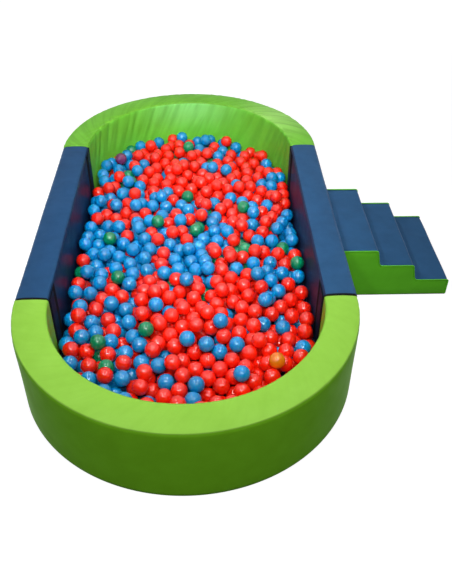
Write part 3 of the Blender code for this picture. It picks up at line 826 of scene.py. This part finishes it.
        # Material numbers: 0 inner face, 1 top, 2 outer face and below, 3 tape
        middle = (self.section.girth + np.roll(self.section.girth, -1)) / 2
        panel = np.select([middle < self.section.inner_seam, middle < self.section.outer_seam], [0, 1], 2)
        panel[self.section.shown - 1:] = 2
        table = np.tile(panel, (len(along) - 1, 1))
        if self.shape is WallShape.STRAIGHT:
            off = np.minimum(along[1:], self.length() - along[:-1])
            table[off <= self.tape_edge] = 3
        ends = [3, 3] if self.shape is WallShape.STRAIGHT else [1, 1]
        numbers = np.concatenate([table.reshape(-1), ends]).astype(np.int32)
        piece.data.polygons.foreach_set("material_index", numbers)

    def sew(self, piece: bpy.types.Object, along: np.ndarray, girth: np.ndarray) -> None:
        """Writes the UV map that the drag streaks follow: metres along the module and round its section.

        Args:
            piece: The lofted piece.
            along: Place along the module of each point.
            girth: Place round the section of each point.
        """
        layer = piece.data.uv_layers.new(name="sewing")
        corners = np.zeros(len(piece.data.loops), np.int32)
        piece.data.loops.foreach_get("vertex_index", corners)
        flat = np.stack([along.reshape(-1)[corners], girth.reshape(-1)[corners]], axis=-1)
        layer.data.foreach_set("uv", flat.astype(np.float32).reshape(-1))

    def dressed(self) -> bpy.types.Object:
        """Returns:
            The finished piece.
        """
        piece = self.make()
        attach(piece, self.body)
        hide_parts(f"{self.body}_cover", f"{self.body}_foam")
        return piece


@dataclass
class Steps:
    """The padded steps: a navy tread strip over foam, two green side panels and their piping.

    The wave, ripple and sag give the height of a slow unevenness and its knots' spacing. The sag's
    height is a share of the panel's puff.
    """

    start: float = 0.8003
    middle: float = 0.04
    width: float = 0.64
    tread: float = 0.21
    riser: float = 0.10
    count: int = 3
    rake: float = 0.02
    rim: float = 0.0006
    nose_radius: float = 0.012
    corner_radius: float = 0.022
    panel_thickness: float = 0.006
    panel_puff: float = 0.005
    panel_reach: float = 0.016
    sag: tuple[float, float] = (0.18, 0.07)
    piping_radius: float = 0.0035
    piping_inset: float = 0.0006
    crown: float = 0.0016
    crown_reach: float = 0.018
    wave: tuple[float, float] = (0.0008, 0.09)
    ripple: tuple[float, float] = (0.0005, 0.05)
    foot_fade: float = 0.02
    row: float = 0.014
    seed: int = 41

    def side_view(self, inset: float = 0.0) -> list[tuple[float, float]]:
        """Corners of the steps' side view as (x, z), from the wall outwards.

        Args:
            inset: How far the outline is drawn in, in metres.

        Returns:
            The corners, without the closing foot.
        """
        points = [(self.start + inset, self.rim)]
        left = self.start + inset
        for step in range(self.count):
            up = (self.count - step) * self.riser - inset
            edge = self.start + (step + 1) * self.tread - inset
            points += [(left, up), (edge, up)]
            left = edge + self.rake
        points.append((self.start + self.count * self.tread - inset, self.rim))
        return points

    def rounded(self, corners: list[tuple[float, float]], pieces: int = 6) -> list[tuple[float, float]]:
        """Rounds the corners of the side view and adds points along its runs.

        Args:
            corners: The outline's corners.
            pieces: Points in each rounded corner.

        Returns:
            A dense outline.
        """
        dense = [corners[0]]
        for before, here, after in zip(corners, corners[1:], corners[2:]):
            a, b, c = (Vector(p) for p in (before, here, after))
            to_a, to_c = (a - b).normalized(), (c - b).normalized()
            hollow = to_a.x * to_c.y - to_a.y * to_c.x < 0.0
            radius = self.corner_radius if hollow else self.nose_radius
            start, end = b + to_a * radius, b + to_c * radius
            for n in range(pieces + 1):
                share = n / pieces
                dense.append(tuple((1 - share) ** 2 * start + 2 * share * (1 - share) * b + share ** 2 * end))
        dense.append(corners[-1])
        filled = [dense[0]]
        for low, high in zip(dense, dense[1:]):
            parts = max(1, int(math.dist(low, high) / self.row))
            filled += [(low[0] + (high[0] - low[0]) * n / parts, low[1] + (high[1] - low[1]) * n / parts)
                       for n in range(1, parts + 1)]
        return filled

    def block(self) -> bpy.types.Object:
        """The tread strip over its foam: crowned treads, soft noses and pinched inner corners.

        Returns:
            The closed piece.
        """
        outline = np.array(self.rounded(self.side_view()))
        tangent = np.gradient(outline, axis=0)
        tangent /= np.linalg.norm(tangent, axis=1)[:, None]
        normal = np.stack([-tangent[:, 1], tangent[:, 0]], axis=-1)
        inside = self.width / 2 - self.panel_thickness
        rows = np.linspace(-inside, inside, int(2 * inside / self.row) + 1)
        rng = random.Random(self.seed)
        girth = np.concatenate([[0.0], np.cumsum(np.linalg.norm(np.diff(outline, axis=0), axis=1))])
        verts = np.zeros((len(rows), len(outline), 3))
        waves, ripples = smooth_noise(rng, 23), smooth_noise(rng, 31)
        for n, row in enumerate(rows):
            edge = 1.0 - np.exp(-(inside - abs(row)) / self.crown_reach)
            puff = self.crown * edge - self.crown
            # The row is shifted by 1 m, so that a curve is never read before its start
            puff = puff + self.wave[0] * wander(waves, girth + 0.7 * (row + 1.0), self.wave[1])
            puff = puff + self.ripple[0] * wander(ripples, row + 1.0 + 0.3 * girth, self.ripple[1])
            foot = np.clip(outline[:, 1] / self.foot_fade, 0.0, 1.0)
            spread = outline + normal * (puff * foot)[:, None]
            across = np.full(len(outline), self.middle + row)
            verts[n] = np.stack([spread[:, 0], across, spread[:, 1]], axis=-1)
        ring = len(outline)
        faces = [(n * ring + j, n * ring + j + 1, (n + 1) * ring + j + 1, (n + 1) * ring + j)
                 for n in range(len(rows) - 1) for j in range(ring - 1)]
        faces += [(n * ring, (n + 1) * ring, (n + 1) * ring + ring - 1, n * ring + ring - 1)
                  for n in range(len(rows) - 1)]
        faces += [tuple(range(ring)), tuple(range((len(rows) - 1) * ring, len(rows) * ring))]
        piece = new_piece("steps_tread_pad", verts.reshape(-1, 3), faces)
        outward(piece)
        return piece

    def side_panel(self, sign: int) -> bpy.types.Object:
        """One green side panel, puffed between its edges.

        Args:
            sign: 1 for the rear side, -1 for the front side.

        Returns:
            The closed piece.
        """
        outline = self.rounded(self.side_view(), pieces=5)
        grid = [(x, z) for x in np.arange(self.start + 0.006, self.start + self.count * self.tread, self.row)
                for z in np.arange(0.008, self.count * self.riser, self.row)]
        ring = len(outline)
        edges = [(n, (n + 1) % ring) for n in range(ring)]
        points, _, faces, _, _, _ = delaunay_2d_cdt(
            [Vector(p) for p in outline + grid], edges, [list(range(ring))], 1, 0.0001)
        flat = np.array([tuple(p) for p in points])
        starts = np.array(outline)
        ends = np.roll(starts, -1, axis=0)
        run = ends - starts
        square = np.maximum((run ** 2).sum(axis=1), 1e-12)
        share = np.clip(((flat[:, None, :] - starts) * run).sum(axis=2) / square, 0.0, 1.0)
        off = np.linalg.norm(flat[:, None, :] - (starts + share[..., None] * run), axis=2).min(axis=1)
        rng = random.Random(self.seed + sign)
        sag = wander(smooth_noise(rng, 29), flat[:, 0] + 0.6 * flat[:, 1] + 1.0, self.sag[1])
        puff = self.panel_puff * (1.0 - np.exp(-off / self.panel_reach)) * (1.0 + self.sag[0] * sag)
        foot = np.clip(flat[:, 1] / self.foot_fade, 0.0, 1.0)
        outer = self.middle + sign * (self.width / 2 - self.panel_puff + puff * foot)
        inner = np.full(len(flat), self.middle + sign * (self.width / 2 - self.panel_thickness))
        count = len(flat)
        verts = np.concatenate([np.stack([flat[:, 0], outer, flat[:, 1]], axis=-1),
                                np.stack([flat[:, 0], inner, flat[:, 1]], axis=-1)])
        counts: dict[tuple[int, int], int] = {}
        for face in faces:
            for a, b in zip(face, face[1:] + face[:1]):
                counts[min(a, b), max(a, b)] = counts.get((min(a, b), max(a, b)), 0) + 1
        rim = [pair for pair, uses in counts.items() if uses == 1]
        skins = [tuple(face) for face in faces] + [tuple(n + count for n in face[::-1]) for face in faces]
        skins += [(a, b, b + count, a + count) for a, b in rim]
        name = "steps_rear_side_panel" if sign > 0 else "steps_front_side_panel"
        piece = new_piece(name, verts, skins)
        outward(piece)
        piece.data.set_sharp_from_angle(angle=math.radians(50))
        return piece

    def piping(self, sign: int) -> bpy.types.Object:
        """The sewn edge between the treads and a side panel, as a fine round welt.

        Args:
            sign: 1 for the rear side, -1 for the front side.

        Returns:
            The piece.
        """
        line = self.rounded(self.side_view(self.piping_inset))
        curve = bpy.data.curves.new("piping", "CURVE")
        curve.dimensions = "3D"
        curve.bevel_depth = self.piping_radius
        curve.bevel_resolution = 2
        curve.use_fill_caps = True
        spline = curve.splines.new("POLY")
        spline.points.add(len(line) - 1)
        across = self.middle + sign * (self.width / 2 - self.panel_thickness * 0.5)
        for point, (x, z) in zip(spline.points, line):
            point.co = (x, across, max(z, self.rim + self.piping_radius), 1.0)
        name = "steps_rear_piping" if sign > 0 else "steps_front_piping"
        made = bpy.data.objects.new(name, curve)
        bpy.context.scene.collection.objects.link(made)
        choose(made)
        bpy.ops.object.convert(target="MESH")
        made = bpy.context.view_layer.objects.active
        made.data.shade_smooth()
        made.select_set(False)
        return made

    def dressed(self) -> list[bpy.types.Object]:
        """Makes, finishes and declares every piece of the steps.

        Returns:
            The finished pieces.
        """
        block = self.block()
        dress(block, NAVY.material())
        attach(block, "steps")
        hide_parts("steps_foam", "steps_tread_cover")
        pieces = [block]
        green = STEP_LIME.material()
        for sign, node in ((1, "steps_rear_side"), (-1, "steps_front_side")):
            panel = self.side_panel(sign)
            dress(panel, green)
            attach(panel, "steps")
            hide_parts(node)
            welt = self.piping(sign)
            dress(welt, green)
            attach(welt, "steps")
            pieces += [panel, welt]
        return pieces


@dataclass
class FloorMat:
    """The padded mat under the balls: one slab with soft edges and a top that dips a little in waves.

    The dips follow each other by their pace, in radians per metre from the edge inwards.
    """

    reach: float = 0.6397
    half_straight: float = 0.750
    top: float = 0.030
    rim: float = 0.0006
    foot: float = 0.0018
    edge_radius: float = 0.009
    corner_steps: int = 5
    arc_steps: int = 48
    dimple: float = 0.0012
    dimple_pace: float = 30.0
    flat_rim: float = 0.03
    last_ring: float = 0.97
    top_rings: int = 34
    skin: float = 0.0015

    def loop(self, inset: float) -> np.ndarray:
        """The mat's plan, drawn in by an inset.

        Args:
            inset: How far, in metres.

        Returns:
            Points round the stadium.
        """
        turns = np.linspace(0.0, math.pi, self.arc_steps + 1)
        radius = self.reach - inset
        rear = np.stack([radius * np.cos(turns), self.half_straight + radius * np.sin(turns)], axis=-1)
        return np.concatenate([rear, -rear])

    def make(self) -> bpy.types.Object:
        """Lofts the slab from rings, with a dimpled top.

        Returns:
            The closed piece.
        """
        r = self.edge_radius
        rings = [(0.0, self.rim), (0.0, self.top - r)]
        rings += [(r - r * math.cos(a), self.top - r + r * math.sin(a))
                  for a in np.linspace(0.0, math.pi / 2, self.corner_steps + 1)[1:]]
        rings += [(inset, self.top - self.dimple * (1.0 - math.cos(inset * self.dimple_pace)) / 2)
                  for inset in np.linspace(self.flat_rim, self.reach * self.last_ring, self.top_rings)]
        plans = [self.loop(inset) for inset, _ in rings]
        verts = np.concatenate([np.column_stack([plan, np.full(len(plan), up)])
                                for plan, (_, up) in zip(plans, rings)])
        ring = len(plans[0])
        faces = [(low + j, low + (j + 1) % ring, low + ring + (j + 1) % ring, low + ring + j)
                 for low in range(0, (len(rings) - 1) * ring, ring) for j in range(ring)]
        last = (len(rings) - 1) * ring
        half = ring // 2
        faces += [(last + j, last + j + 1, last + ring - 2 - j, last + ring - 1 - j) for j in range(half - 1)]
        inner = self.loop(self.skin)
        base = len(verts)
        verts = np.concatenate([verts, np.column_stack([inner, np.full(ring, self.rim)]),
                                np.column_stack([inner, np.full(ring, self.foot)])])
        faces += [(j, base + j, base + (j + 1) % ring, (j + 1) % ring) for j in range(ring)]
        faces += [(base + j, base + ring + j, base + ring + (j + 1) % ring, base + (j + 1) % ring)
                  for j in range(ring)]
        faces += [tuple(range(base + ring, base + 2 * ring))]
        piece = new_piece("floor_mat_pad", verts, faces)
        outward(piece)
        return piece

    def dressed(self) -> bpy.types.Object:
        """Returns:
            The finished piece.
        """
        piece = self.make()
        dress(piece, NAVY.material())
        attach(piece, "floor_mat")
        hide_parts("mat_cover", "mat_foam")
        return piece


@dataclass(frozen=True)
class ColourPatch:
    """A part of the fill in which some colours lie closer together, as balls do when bags are emptied."""

    x: float
    y: float
    reach_x: float
    reach_y: float
    shares: dict[Dye, float]


@dataclass
class BallPour:
    """The settled balls, laid one by one in the same way and order as in the CAD's source.

    Lengths in here are in ball radii.
    """

    radius: float = 0.040
    fill_radius: float = 0.6355
    half_straight_size: float = 0.750
    floor: float = 0.0303
    cell: float = 0.12
    spots: int = 12
    slope: float = 0.01
    digits: int = 6
    seed: int = 24

    def __post_init__(self) -> None:
        """Lays the map of the heights at which a ball's centre rests, and the order in which layers close."""
        self.rng = random.Random(self.seed)
        self.reach = round(self.fill_radius / self.radius, self.digits) - 1.0
        self.half_straight = round(self.half_straight_size / self.radius, self.digits)
        self.columns = int(self.reach / self.cell)
        self.rows = int((self.reach + self.half_straight) / self.cell)
        across = np.arange(-self.columns, self.columns + 1) * self.cell
        along = np.arange(-self.rows, self.rows + 1) * self.cell
        x, y = np.meshgrid(across, along, indexing="ij")
        past = np.maximum(np.abs(y) - self.half_straight, 0.0)
        inside = x * x + past * past <= self.reach * self.reach
        self.rest = np.where(inside, 1.0, np.inf)
        starts = self.rng.sample(np.argwhere(inside).tolist(), self.spots)
        self.order = self.slope * np.minimum.reduce([np.hypot(x - x[i, j], y - y[i, j]) for i, j in starts])
        # Two balls touch where their centres are two radii apart
        self.span = int(2.0 / self.cell) + 1
        step = np.arange(-self.span, self.span + 1) * self.cell
        dx, dy = np.meshgrid(step, step, indexing="ij")
        left = 4.0 - dx * dx - dy * dy
        self.shadow = np.where(left > 0.0, np.sqrt(np.maximum(left, 0.0)), -np.inf)
        self.balls: list[tuple[float, float, float]] = []

    def seat(self, i: int, j: int) -> None:
        """Adds a ball and raises the map where it now gets in the way.

        Args:
            i: Its column.
            j: Its row.
        """
        up = float(self.rest[i, j])
        i_low, j_low = max(i - self.span, 0), max(j - self.span, 0)
        near = self.rest[i_low:i + self.span + 1, j_low:j + self.span + 1]
        a, b = i_low - i + self.span, j_low - j + self.span
        np.maximum(near, up + self.shadow[a:a + near.shape[0], b:b + near.shape[1]], out=near)
        self.balls.append(((i - self.columns) * self.cell, (j - self.rows) * self.cell, up))

    def pour(self, count: int) -> np.ndarray:
        """Adds the balls, each at the lowest seat that is left.

        Args:
            count: How many balls.

        Returns:
            Their centres in metres, one row each.
        """
        for _ in range(count):
            self.seat(*divmod(int(np.argmin(self.rest + self.order)), self.rest.shape[1]))
        places = np.array(self.balls) * self.radius
        places[:, 2] += self.floor
        return places


@dataclass
class BallPool:
    """Every ball of the fill and the loose ones on it, grouped by colour."""

    count: int = 905
    radius: float = 0.040
    cuts: int = 3
    seed: int = 5
    common: dict[Dye, float] = field(default_factory=lambda: {Dye.RED: 0.50, Dye.BLUE: 0.30, Dye.GREEN: 0.05})
    pull: float = 4.0
    patches: tuple[ColourPatch, ...] = (
        ColourPatch(-0.05, 0.80, 0.34, 0.34, {Dye.RED: 1.0}),
        ColourPatch(0.08, 1.25, 0.16, 0.07, {Dye.BLUE: 1.6}),
        ColourPatch(-0.47, 0.92, 0.14, 0.19, {Dye.BLUE: 0.9, Dye.GREEN: 0.1}),
        ColourPatch(0.45, 0.80, 0.18, 0.26, {Dye.RED: 0.7, Dye.BLUE: 0.3}),
        ColourPatch(-0.45, 0.19, 0.26, 0.45, {Dye.BLUE: 1.1, Dye.RED: 0.12, Dye.GREEN: 0.04}),
        ColourPatch(0.00, 0.19, 0.26, 0.24, {Dye.BLUE: 0.75, Dye.RED: 0.20, Dye.GREEN: 0.12}),
        ColourPatch(0.48, 0.19, 0.20, 0.32, {Dye.RED: 0.5, Dye.BLUE: 0.42, Dye.GREEN: 0.14}),
        ColourPatch(-0.14, -0.30, 0.13, 0.19, {Dye.RED: 1.0}),
        ColourPatch(0.06, -0.28, 0.08, 0.15, {Dye.BLUE: 0.6, Dye.RED: 0.3, Dye.GREEN: 0.12}),
        ColourPatch(0.27, -0.30, 0.14, 0.19, {Dye.RED: 1.0}),
        ColourPatch(0.47, -0.26, 0.08, 0.17, {Dye.BLUE: 0.9, Dye.RED: 0.2}),
        ColourPatch(-0.48, -0.49, 0.20, 0.26, {Dye.BLUE: 1.0, Dye.RED: 0.35}),
        ColourPatch(0.20, -0.73, 0.42, 0.30, {Dye.RED: 1.6, Dye.BLUE: 0.20}),
        ColourPatch(-0.30, -0.98, 0.24, 0.16, {Dye.BLUE: 1.0, Dye.RED: 0.35, Dye.GREEN: 0.10}),
        ColourPatch(-0.08, -1.00, 0.14, 0.08, {Dye.BLUE: 1.0, Dye.RED: 0.1}),
        ColourPatch(0.10, -1.21, 0.30, 0.11, {Dye.RED: 1.0, Dye.BLUE: 0.25}),
    )

    def template(self) -> tuple[np.ndarray, list[tuple[int, ...]]]:
        """One ball: a cube cut into squares and blown round, with even squares.

        Returns:
            Its points on the unit sphere and its faces.
        """
        deselect_all()
        bpy.ops.mesh.primitive_cube_add(size=2.0)
        cube = bpy.context.view_layer.objects.active
        bpy.ops.object.mode_set(mode="EDIT")
        bpy.ops.mesh.select_all(action="SELECT")
        bpy.ops.mesh.subdivide(number_cuts=self.cuts - 1)
        bpy.ops.object.mode_set(mode="OBJECT")
        points = np.array([tuple(v.co) for v in cube.data.vertices])
        points = np.tan(points * math.pi / 4)
        points /= np.linalg.norm(points, axis=1)[:, None]
        faces = [tuple(face.vertices) for face in cube.data.polygons]
        bpy.data.objects.remove(cube, do_unlink=True)
        return points, faces

    def dye_at(self, rng: random.Random, x: float, y: float) -> Dye:
        """Picks a ball's colour from what is common and from the patches near it.

        Args:
            rng: Seeded source.
            x: Its place across the pit.
            y: Its place along the pit.

        Returns:
            The colour.
        """
        shares = dict(self.common)
        for patch in self.patches:
            across, along = (x - patch.x) / patch.reach_x, (y - patch.y) / patch.reach_y
            near = self.pull * math.exp(-(across ** 2) - along ** 2)
            for dye, share in patch.shares.items():
                shares[dye] = shares.get(dye, 0.0) + near * share
        pick = rng.random() * sum(shares.values())
        for dye, share in shares.items():
            pick -= share
            if pick <= 0.0:
                return dye
        return Dye.RED

    def group(self, name: str, centres: np.ndarray, rng: random.Random) -> bpy.types.Object:
        """Copies the ball to each centre, turned at random, in one mesh.

        Args:
            name: The piece's name.
            centres: Centres in metres.
            rng: Seeded source.

        Returns:
            The piece, with the attributes that its finish reads.
        """
        points, faces = self.shape
        verts, corners, tints = [], [], []
        for n, centre in enumerate(centres):
            turn = Euler([rng.uniform(0.0, 2 * math.pi) for _ in range(3)]).to_matrix()
            verts.append(points @ np.array(turn).T * self.radius + centre)
            corners += [tuple(c + n * len(points) for c in face) for face in faces]
            tints += [rng.random()] * len(points)
        piece = new_piece(name, np.concatenate(verts), corners)
        place = piece.data.attributes.new("ball_place", "FLOAT_VECTOR", "POINT")
        own = np.tile(points, (len(centres), 1)).astype(np.float32)
        place.data.foreach_set("vector", own.reshape(-1))
        tint = piece.data.attributes.new("ball_tint", "FLOAT", "POINT")
        tint.data.foreach_set("value", np.array(tints, np.float32))
        return piece

    def dressed(self) -> list[bpy.types.Object]:
        """Pours, colours and declares all balls.

        Returns:
            The finished pieces.
        """
        self.shape = self.template()
        rng = random.Random(self.seed)
        centres = BallPour().pour(self.count)
        by_dye: dict[Dye, list[np.ndarray]] = {}
        for centre in centres:
            by_dye.setdefault(self.dye_at(rng, centre[0], centre[1]), []).append(centre)
        pieces = []
        finishes = {dye: BlownPolyethylene(dye).material() for dye in Dye}
        for dye, places in by_dye.items():
            piece = self.group(f"fill_balls_{dye.name.lower()}", np.array(places), rng)
            dress(piece, finishes[dye])
            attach(piece, "ball_fill")
            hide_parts("ball_fill")
            pieces.append(piece)
        for node in sorted(name for name in FRAME["nodes"] if name.startswith("loose_ball_")):
            low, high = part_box(node)
            dye = Dye[node.split("_")[2].upper()]
            piece = self.group(node.replace("loose_ball", "top_ball"), np.array([(low + high) / 2]), rng)
            dress(piece, finishes[dye])
            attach(piece, node)
            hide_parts(node)
            pieces.append(piece)
        return pieces


def dress_carried_nodes() -> list[str]:
    """Gives the CAD solids that stay in view their finishes.

    Returns:
        The names of the nodes that were dressed.
    """
    tape, base, coil, slider, strip = (finish.material() for finish in (TAPE, BASE, ZIP, SLIDER, BINDING))
    endings = {"_tape": tape, "_base": base, "_zip": coil, "_zip_slider": slider, "_binding": strip}
    done = []
    for name, node in sorted(FRAME["nodes"].items()):
        for ending, material in endings.items():
            if name.endswith(ending):
                dress(node, material)
                done.append(name)
    return done


@dataclass(frozen=True)
class Lamp:
    """A rectangular soft lamp, with its size in metres, its power in watts and its beam in radians."""

    name: str
    place: tuple[float, float, float]
    aim: tuple[float, float, float]
    size: tuple[float, float]
    power: float
    spread: float = math.pi

    def hang(self) -> None:
        """Adds the lamp, turned to the point that it lights."""
        data = bpy.data.lights.new(self.name, "AREA")
        data.spread = self.spread
        data.shape = "RECTANGLE"
        data.size, data.size_y = self.size
        data.energy = self.power
        made = bpy.data.objects.new(self.name, data)
        made.location = self.place
        made.rotation_euler = (Vector(self.aim) - Vector(self.place)).to_track_quat("-Z", "Y").to_euler()
        bpy.context.scene.collection.objects.link(made)


@dataclass
class Studio:
    """Camera, floor, world and lamps.

    The floor shows the camera a faint shadow near the object, at the shade level, and turns plain white
    between the two distances of the fade.
    """

    place: tuple[float, float, float] = (0.0867, -3.1804, 2.4344)
    turn: tuple[float, float, float] = (0.8801, -0.0083, -0.0320)
    focal_px: float = 680.451
    frame_px: float = 584.0
    sensor: float = 36.0
    floor_size: float = 60.0
    floor_colour: str = "8C8C8C"
    shade_level: float = 0.90
    shade_fade: tuple[float, float] = (2.0, 5.0)
    world_light: float = 0.12
    lamps: tuple[Lamp, ...] = (
        Lamp("left_tube", (-0.90, -1.40, 3.0), (-0.90, -1.40, 0.0), (0.24, 4.6), 49.0),
        Lamp("right_tube", (0.90, -1.40, 3.0), (0.90, -1.40, 0.0), (0.24, 4.6), 49.0),
        Lamp("far_beam", (0.0, -2.2, 2.6), (0.0, 1.5, 0.35), (0.9, 0.5), 5.7, math.radians(45)),
        Lamp("near_beam", (0.0, -2.4, 2.6), (0.0, -0.2, 0.25), (0.9, 0.5), 3.2, math.radians(40)),
    )

    def camera(self) -> None:
        """Adds the camera at the photograph's viewing angle."""
        data = bpy.data.cameras.new("camera")
        data.sensor_fit = "AUTO"
        data.sensor_width = self.sensor
        data.lens = self.focal_px * self.sensor / self.frame_px
        made = bpy.data.objects.new("camera", data)
        made.location = self.place
        made.rotation_euler = self.turn
        bpy.context.scene.collection.objects.link(made)
        bpy.context.scene.camera = made

    def seen(self, tree: bpy.types.NodeTree) -> Any:
        """Tells rays that show a surface to the camera, directly, mirrored or through glass, from the others.

        Args:
            tree: The node tree of the floor or the world.

        Returns:
            The output socket, 1 for such a ray and 0 for the others.
        """
        path = add_node(tree, "ShaderNodeLightPath")
        mirrored = add_node(tree, "ShaderNodeMath", {"operation": "MAXIMUM"},
                            {0: path.outputs["Is Glossy Ray"], 1: path.outputs["Is Transmission Ray"]})
        return add_node(tree, "ShaderNodeMath", {"operation": "MAXIMUM"},
                        {0: path.outputs["Is Camera Ray"], 1: mirrored.outputs[0]}).outputs[0]

    def floor(self) -> None:
        """Adds the white floor: plain white to the camera, except where the object shades it."""
        deselect_all()
        bpy.ops.mesh.primitive_plane_add(size=self.floor_size)
        plane = bpy.context.view_layer.objects.active
        plane.name = "floor"
        made, tree, shader = blank_material("studio_floor")
        out = tree.nodes["Material Output"]
        shader.inputs["Base Color"].default_value = linear(self.floor_colour)
        shader.inputs["Roughness"].default_value = 0.9
        shader.inputs["Specular IOR Level"].default_value = 0.0
        # A faint shadow stays under the object, and the far floor is plain white
        spot = add_node(tree, "ShaderNodeVectorMath", {"operation": "LENGTH"}, {0: object_place(tree)})
        level = add_node(tree, "ShaderNodeMapRange", links={
            "Value": spot.outputs["Value"], "From Min": self.shade_fade[0], "From Max": self.shade_fade[1],
            "To Min": self.shade_level, "To Max": 1.0})
        glow = add_node(tree, "ShaderNodeEmission", links={"Color": WHITE, "Strength": level.outputs[0]})
        both = add_node(tree, "ShaderNodeAddShader", links={0: shader.outputs[0], 1: glow.outputs[0]})
        pick = add_node(tree, "ShaderNodeMixShader", links={
            0: self.seen(tree), 1: shader.outputs[0], 2: both.outputs[0]})
        tree.links.new(pick.outputs[0], out.inputs["Surface"])
        dress(plane, made)
        plane.select_set(False)

    def world(self) -> None:
        """Makes the world white to the camera and dim to everything else."""
        world = bpy.data.worlds.new("studio")
        world.use_nodes = True
        tree = world.node_tree
        sky = tree.nodes["Background"]
        strength = add_node(tree, "ShaderNodeMapRange", links={
            "Value": self.seen(tree), "To Min": self.world_light, "To Max": 1.0})
        sky.inputs["Color"].default_value = WHITE
        tree.links.new(strength.outputs[0], sky.inputs["Strength"])
        bpy.context.scene.world = world

    def build(self) -> None:
        """Sets up the whole studio."""
        bpy.context.scene.view_settings.view_transform = "Standard"
        self.camera()
        self.floor()
        self.world()
        for lamp in self.lamps:
            lamp.hang()


def main() -> None:
    """Builds and dresses the whole ball pit."""
    logging.basicConfig(level=logging.INFO, format="%(name)s: %(message)s")
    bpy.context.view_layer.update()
    Studio().build()
    walls = [
        PaddedWall("rear_half_ring", "rear_arc", WallShape.HALF_RING, 1, REAR_LIME, 21,
                   section=WallSection(edge_radius=0.011, inner_share=0.30),
                   inner_folds=FoldStyle(0.075, (0.010, 0.030), (0.0035, 0.0085), (0.15, 0.40), 0.12, 0.42),
                   top_folds=FoldStyle(0.055, (0.007, 0.016), (0.0012, 0.0034), (0.050, 0.150), 0.30, 1.0)),
        PaddedWall("front_half_ring", "front_arc", WallShape.HALF_RING, -1, FRONT_LIME, 22,
                   section=WallSection(edge_radius=0.010, inner_share=0.6, outer_share=0.2)),
        PaddedWall("left_long_wall", "left_wall", WallShape.STRAIGHT, -1, LEFT_NAVY, 23,
                   section=WallSection(inner_share=0.4, outer_share=0.75)),
        PaddedWall("right_long_wall", "right_wall", WallShape.STRAIGHT, 1, RIGHT_NAVY, 24,
                   section=WallSection(inner_share=0.7, outer_share=0.6)),
    ]
    pieces = [wall.dressed() for wall in walls]
    pieces += Steps().dressed()
    pieces.append(FloorMat().dressed())
    pieces += BallPool().dressed()
    for piece in pieces:
        LOG.info("%s: %d faces", piece.name, len(piece.data.polygons))
    LOG.info("carried over: %d nodes", len(dress_carried_nodes()))


if __name__ == "__main__":
    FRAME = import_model()
    main()
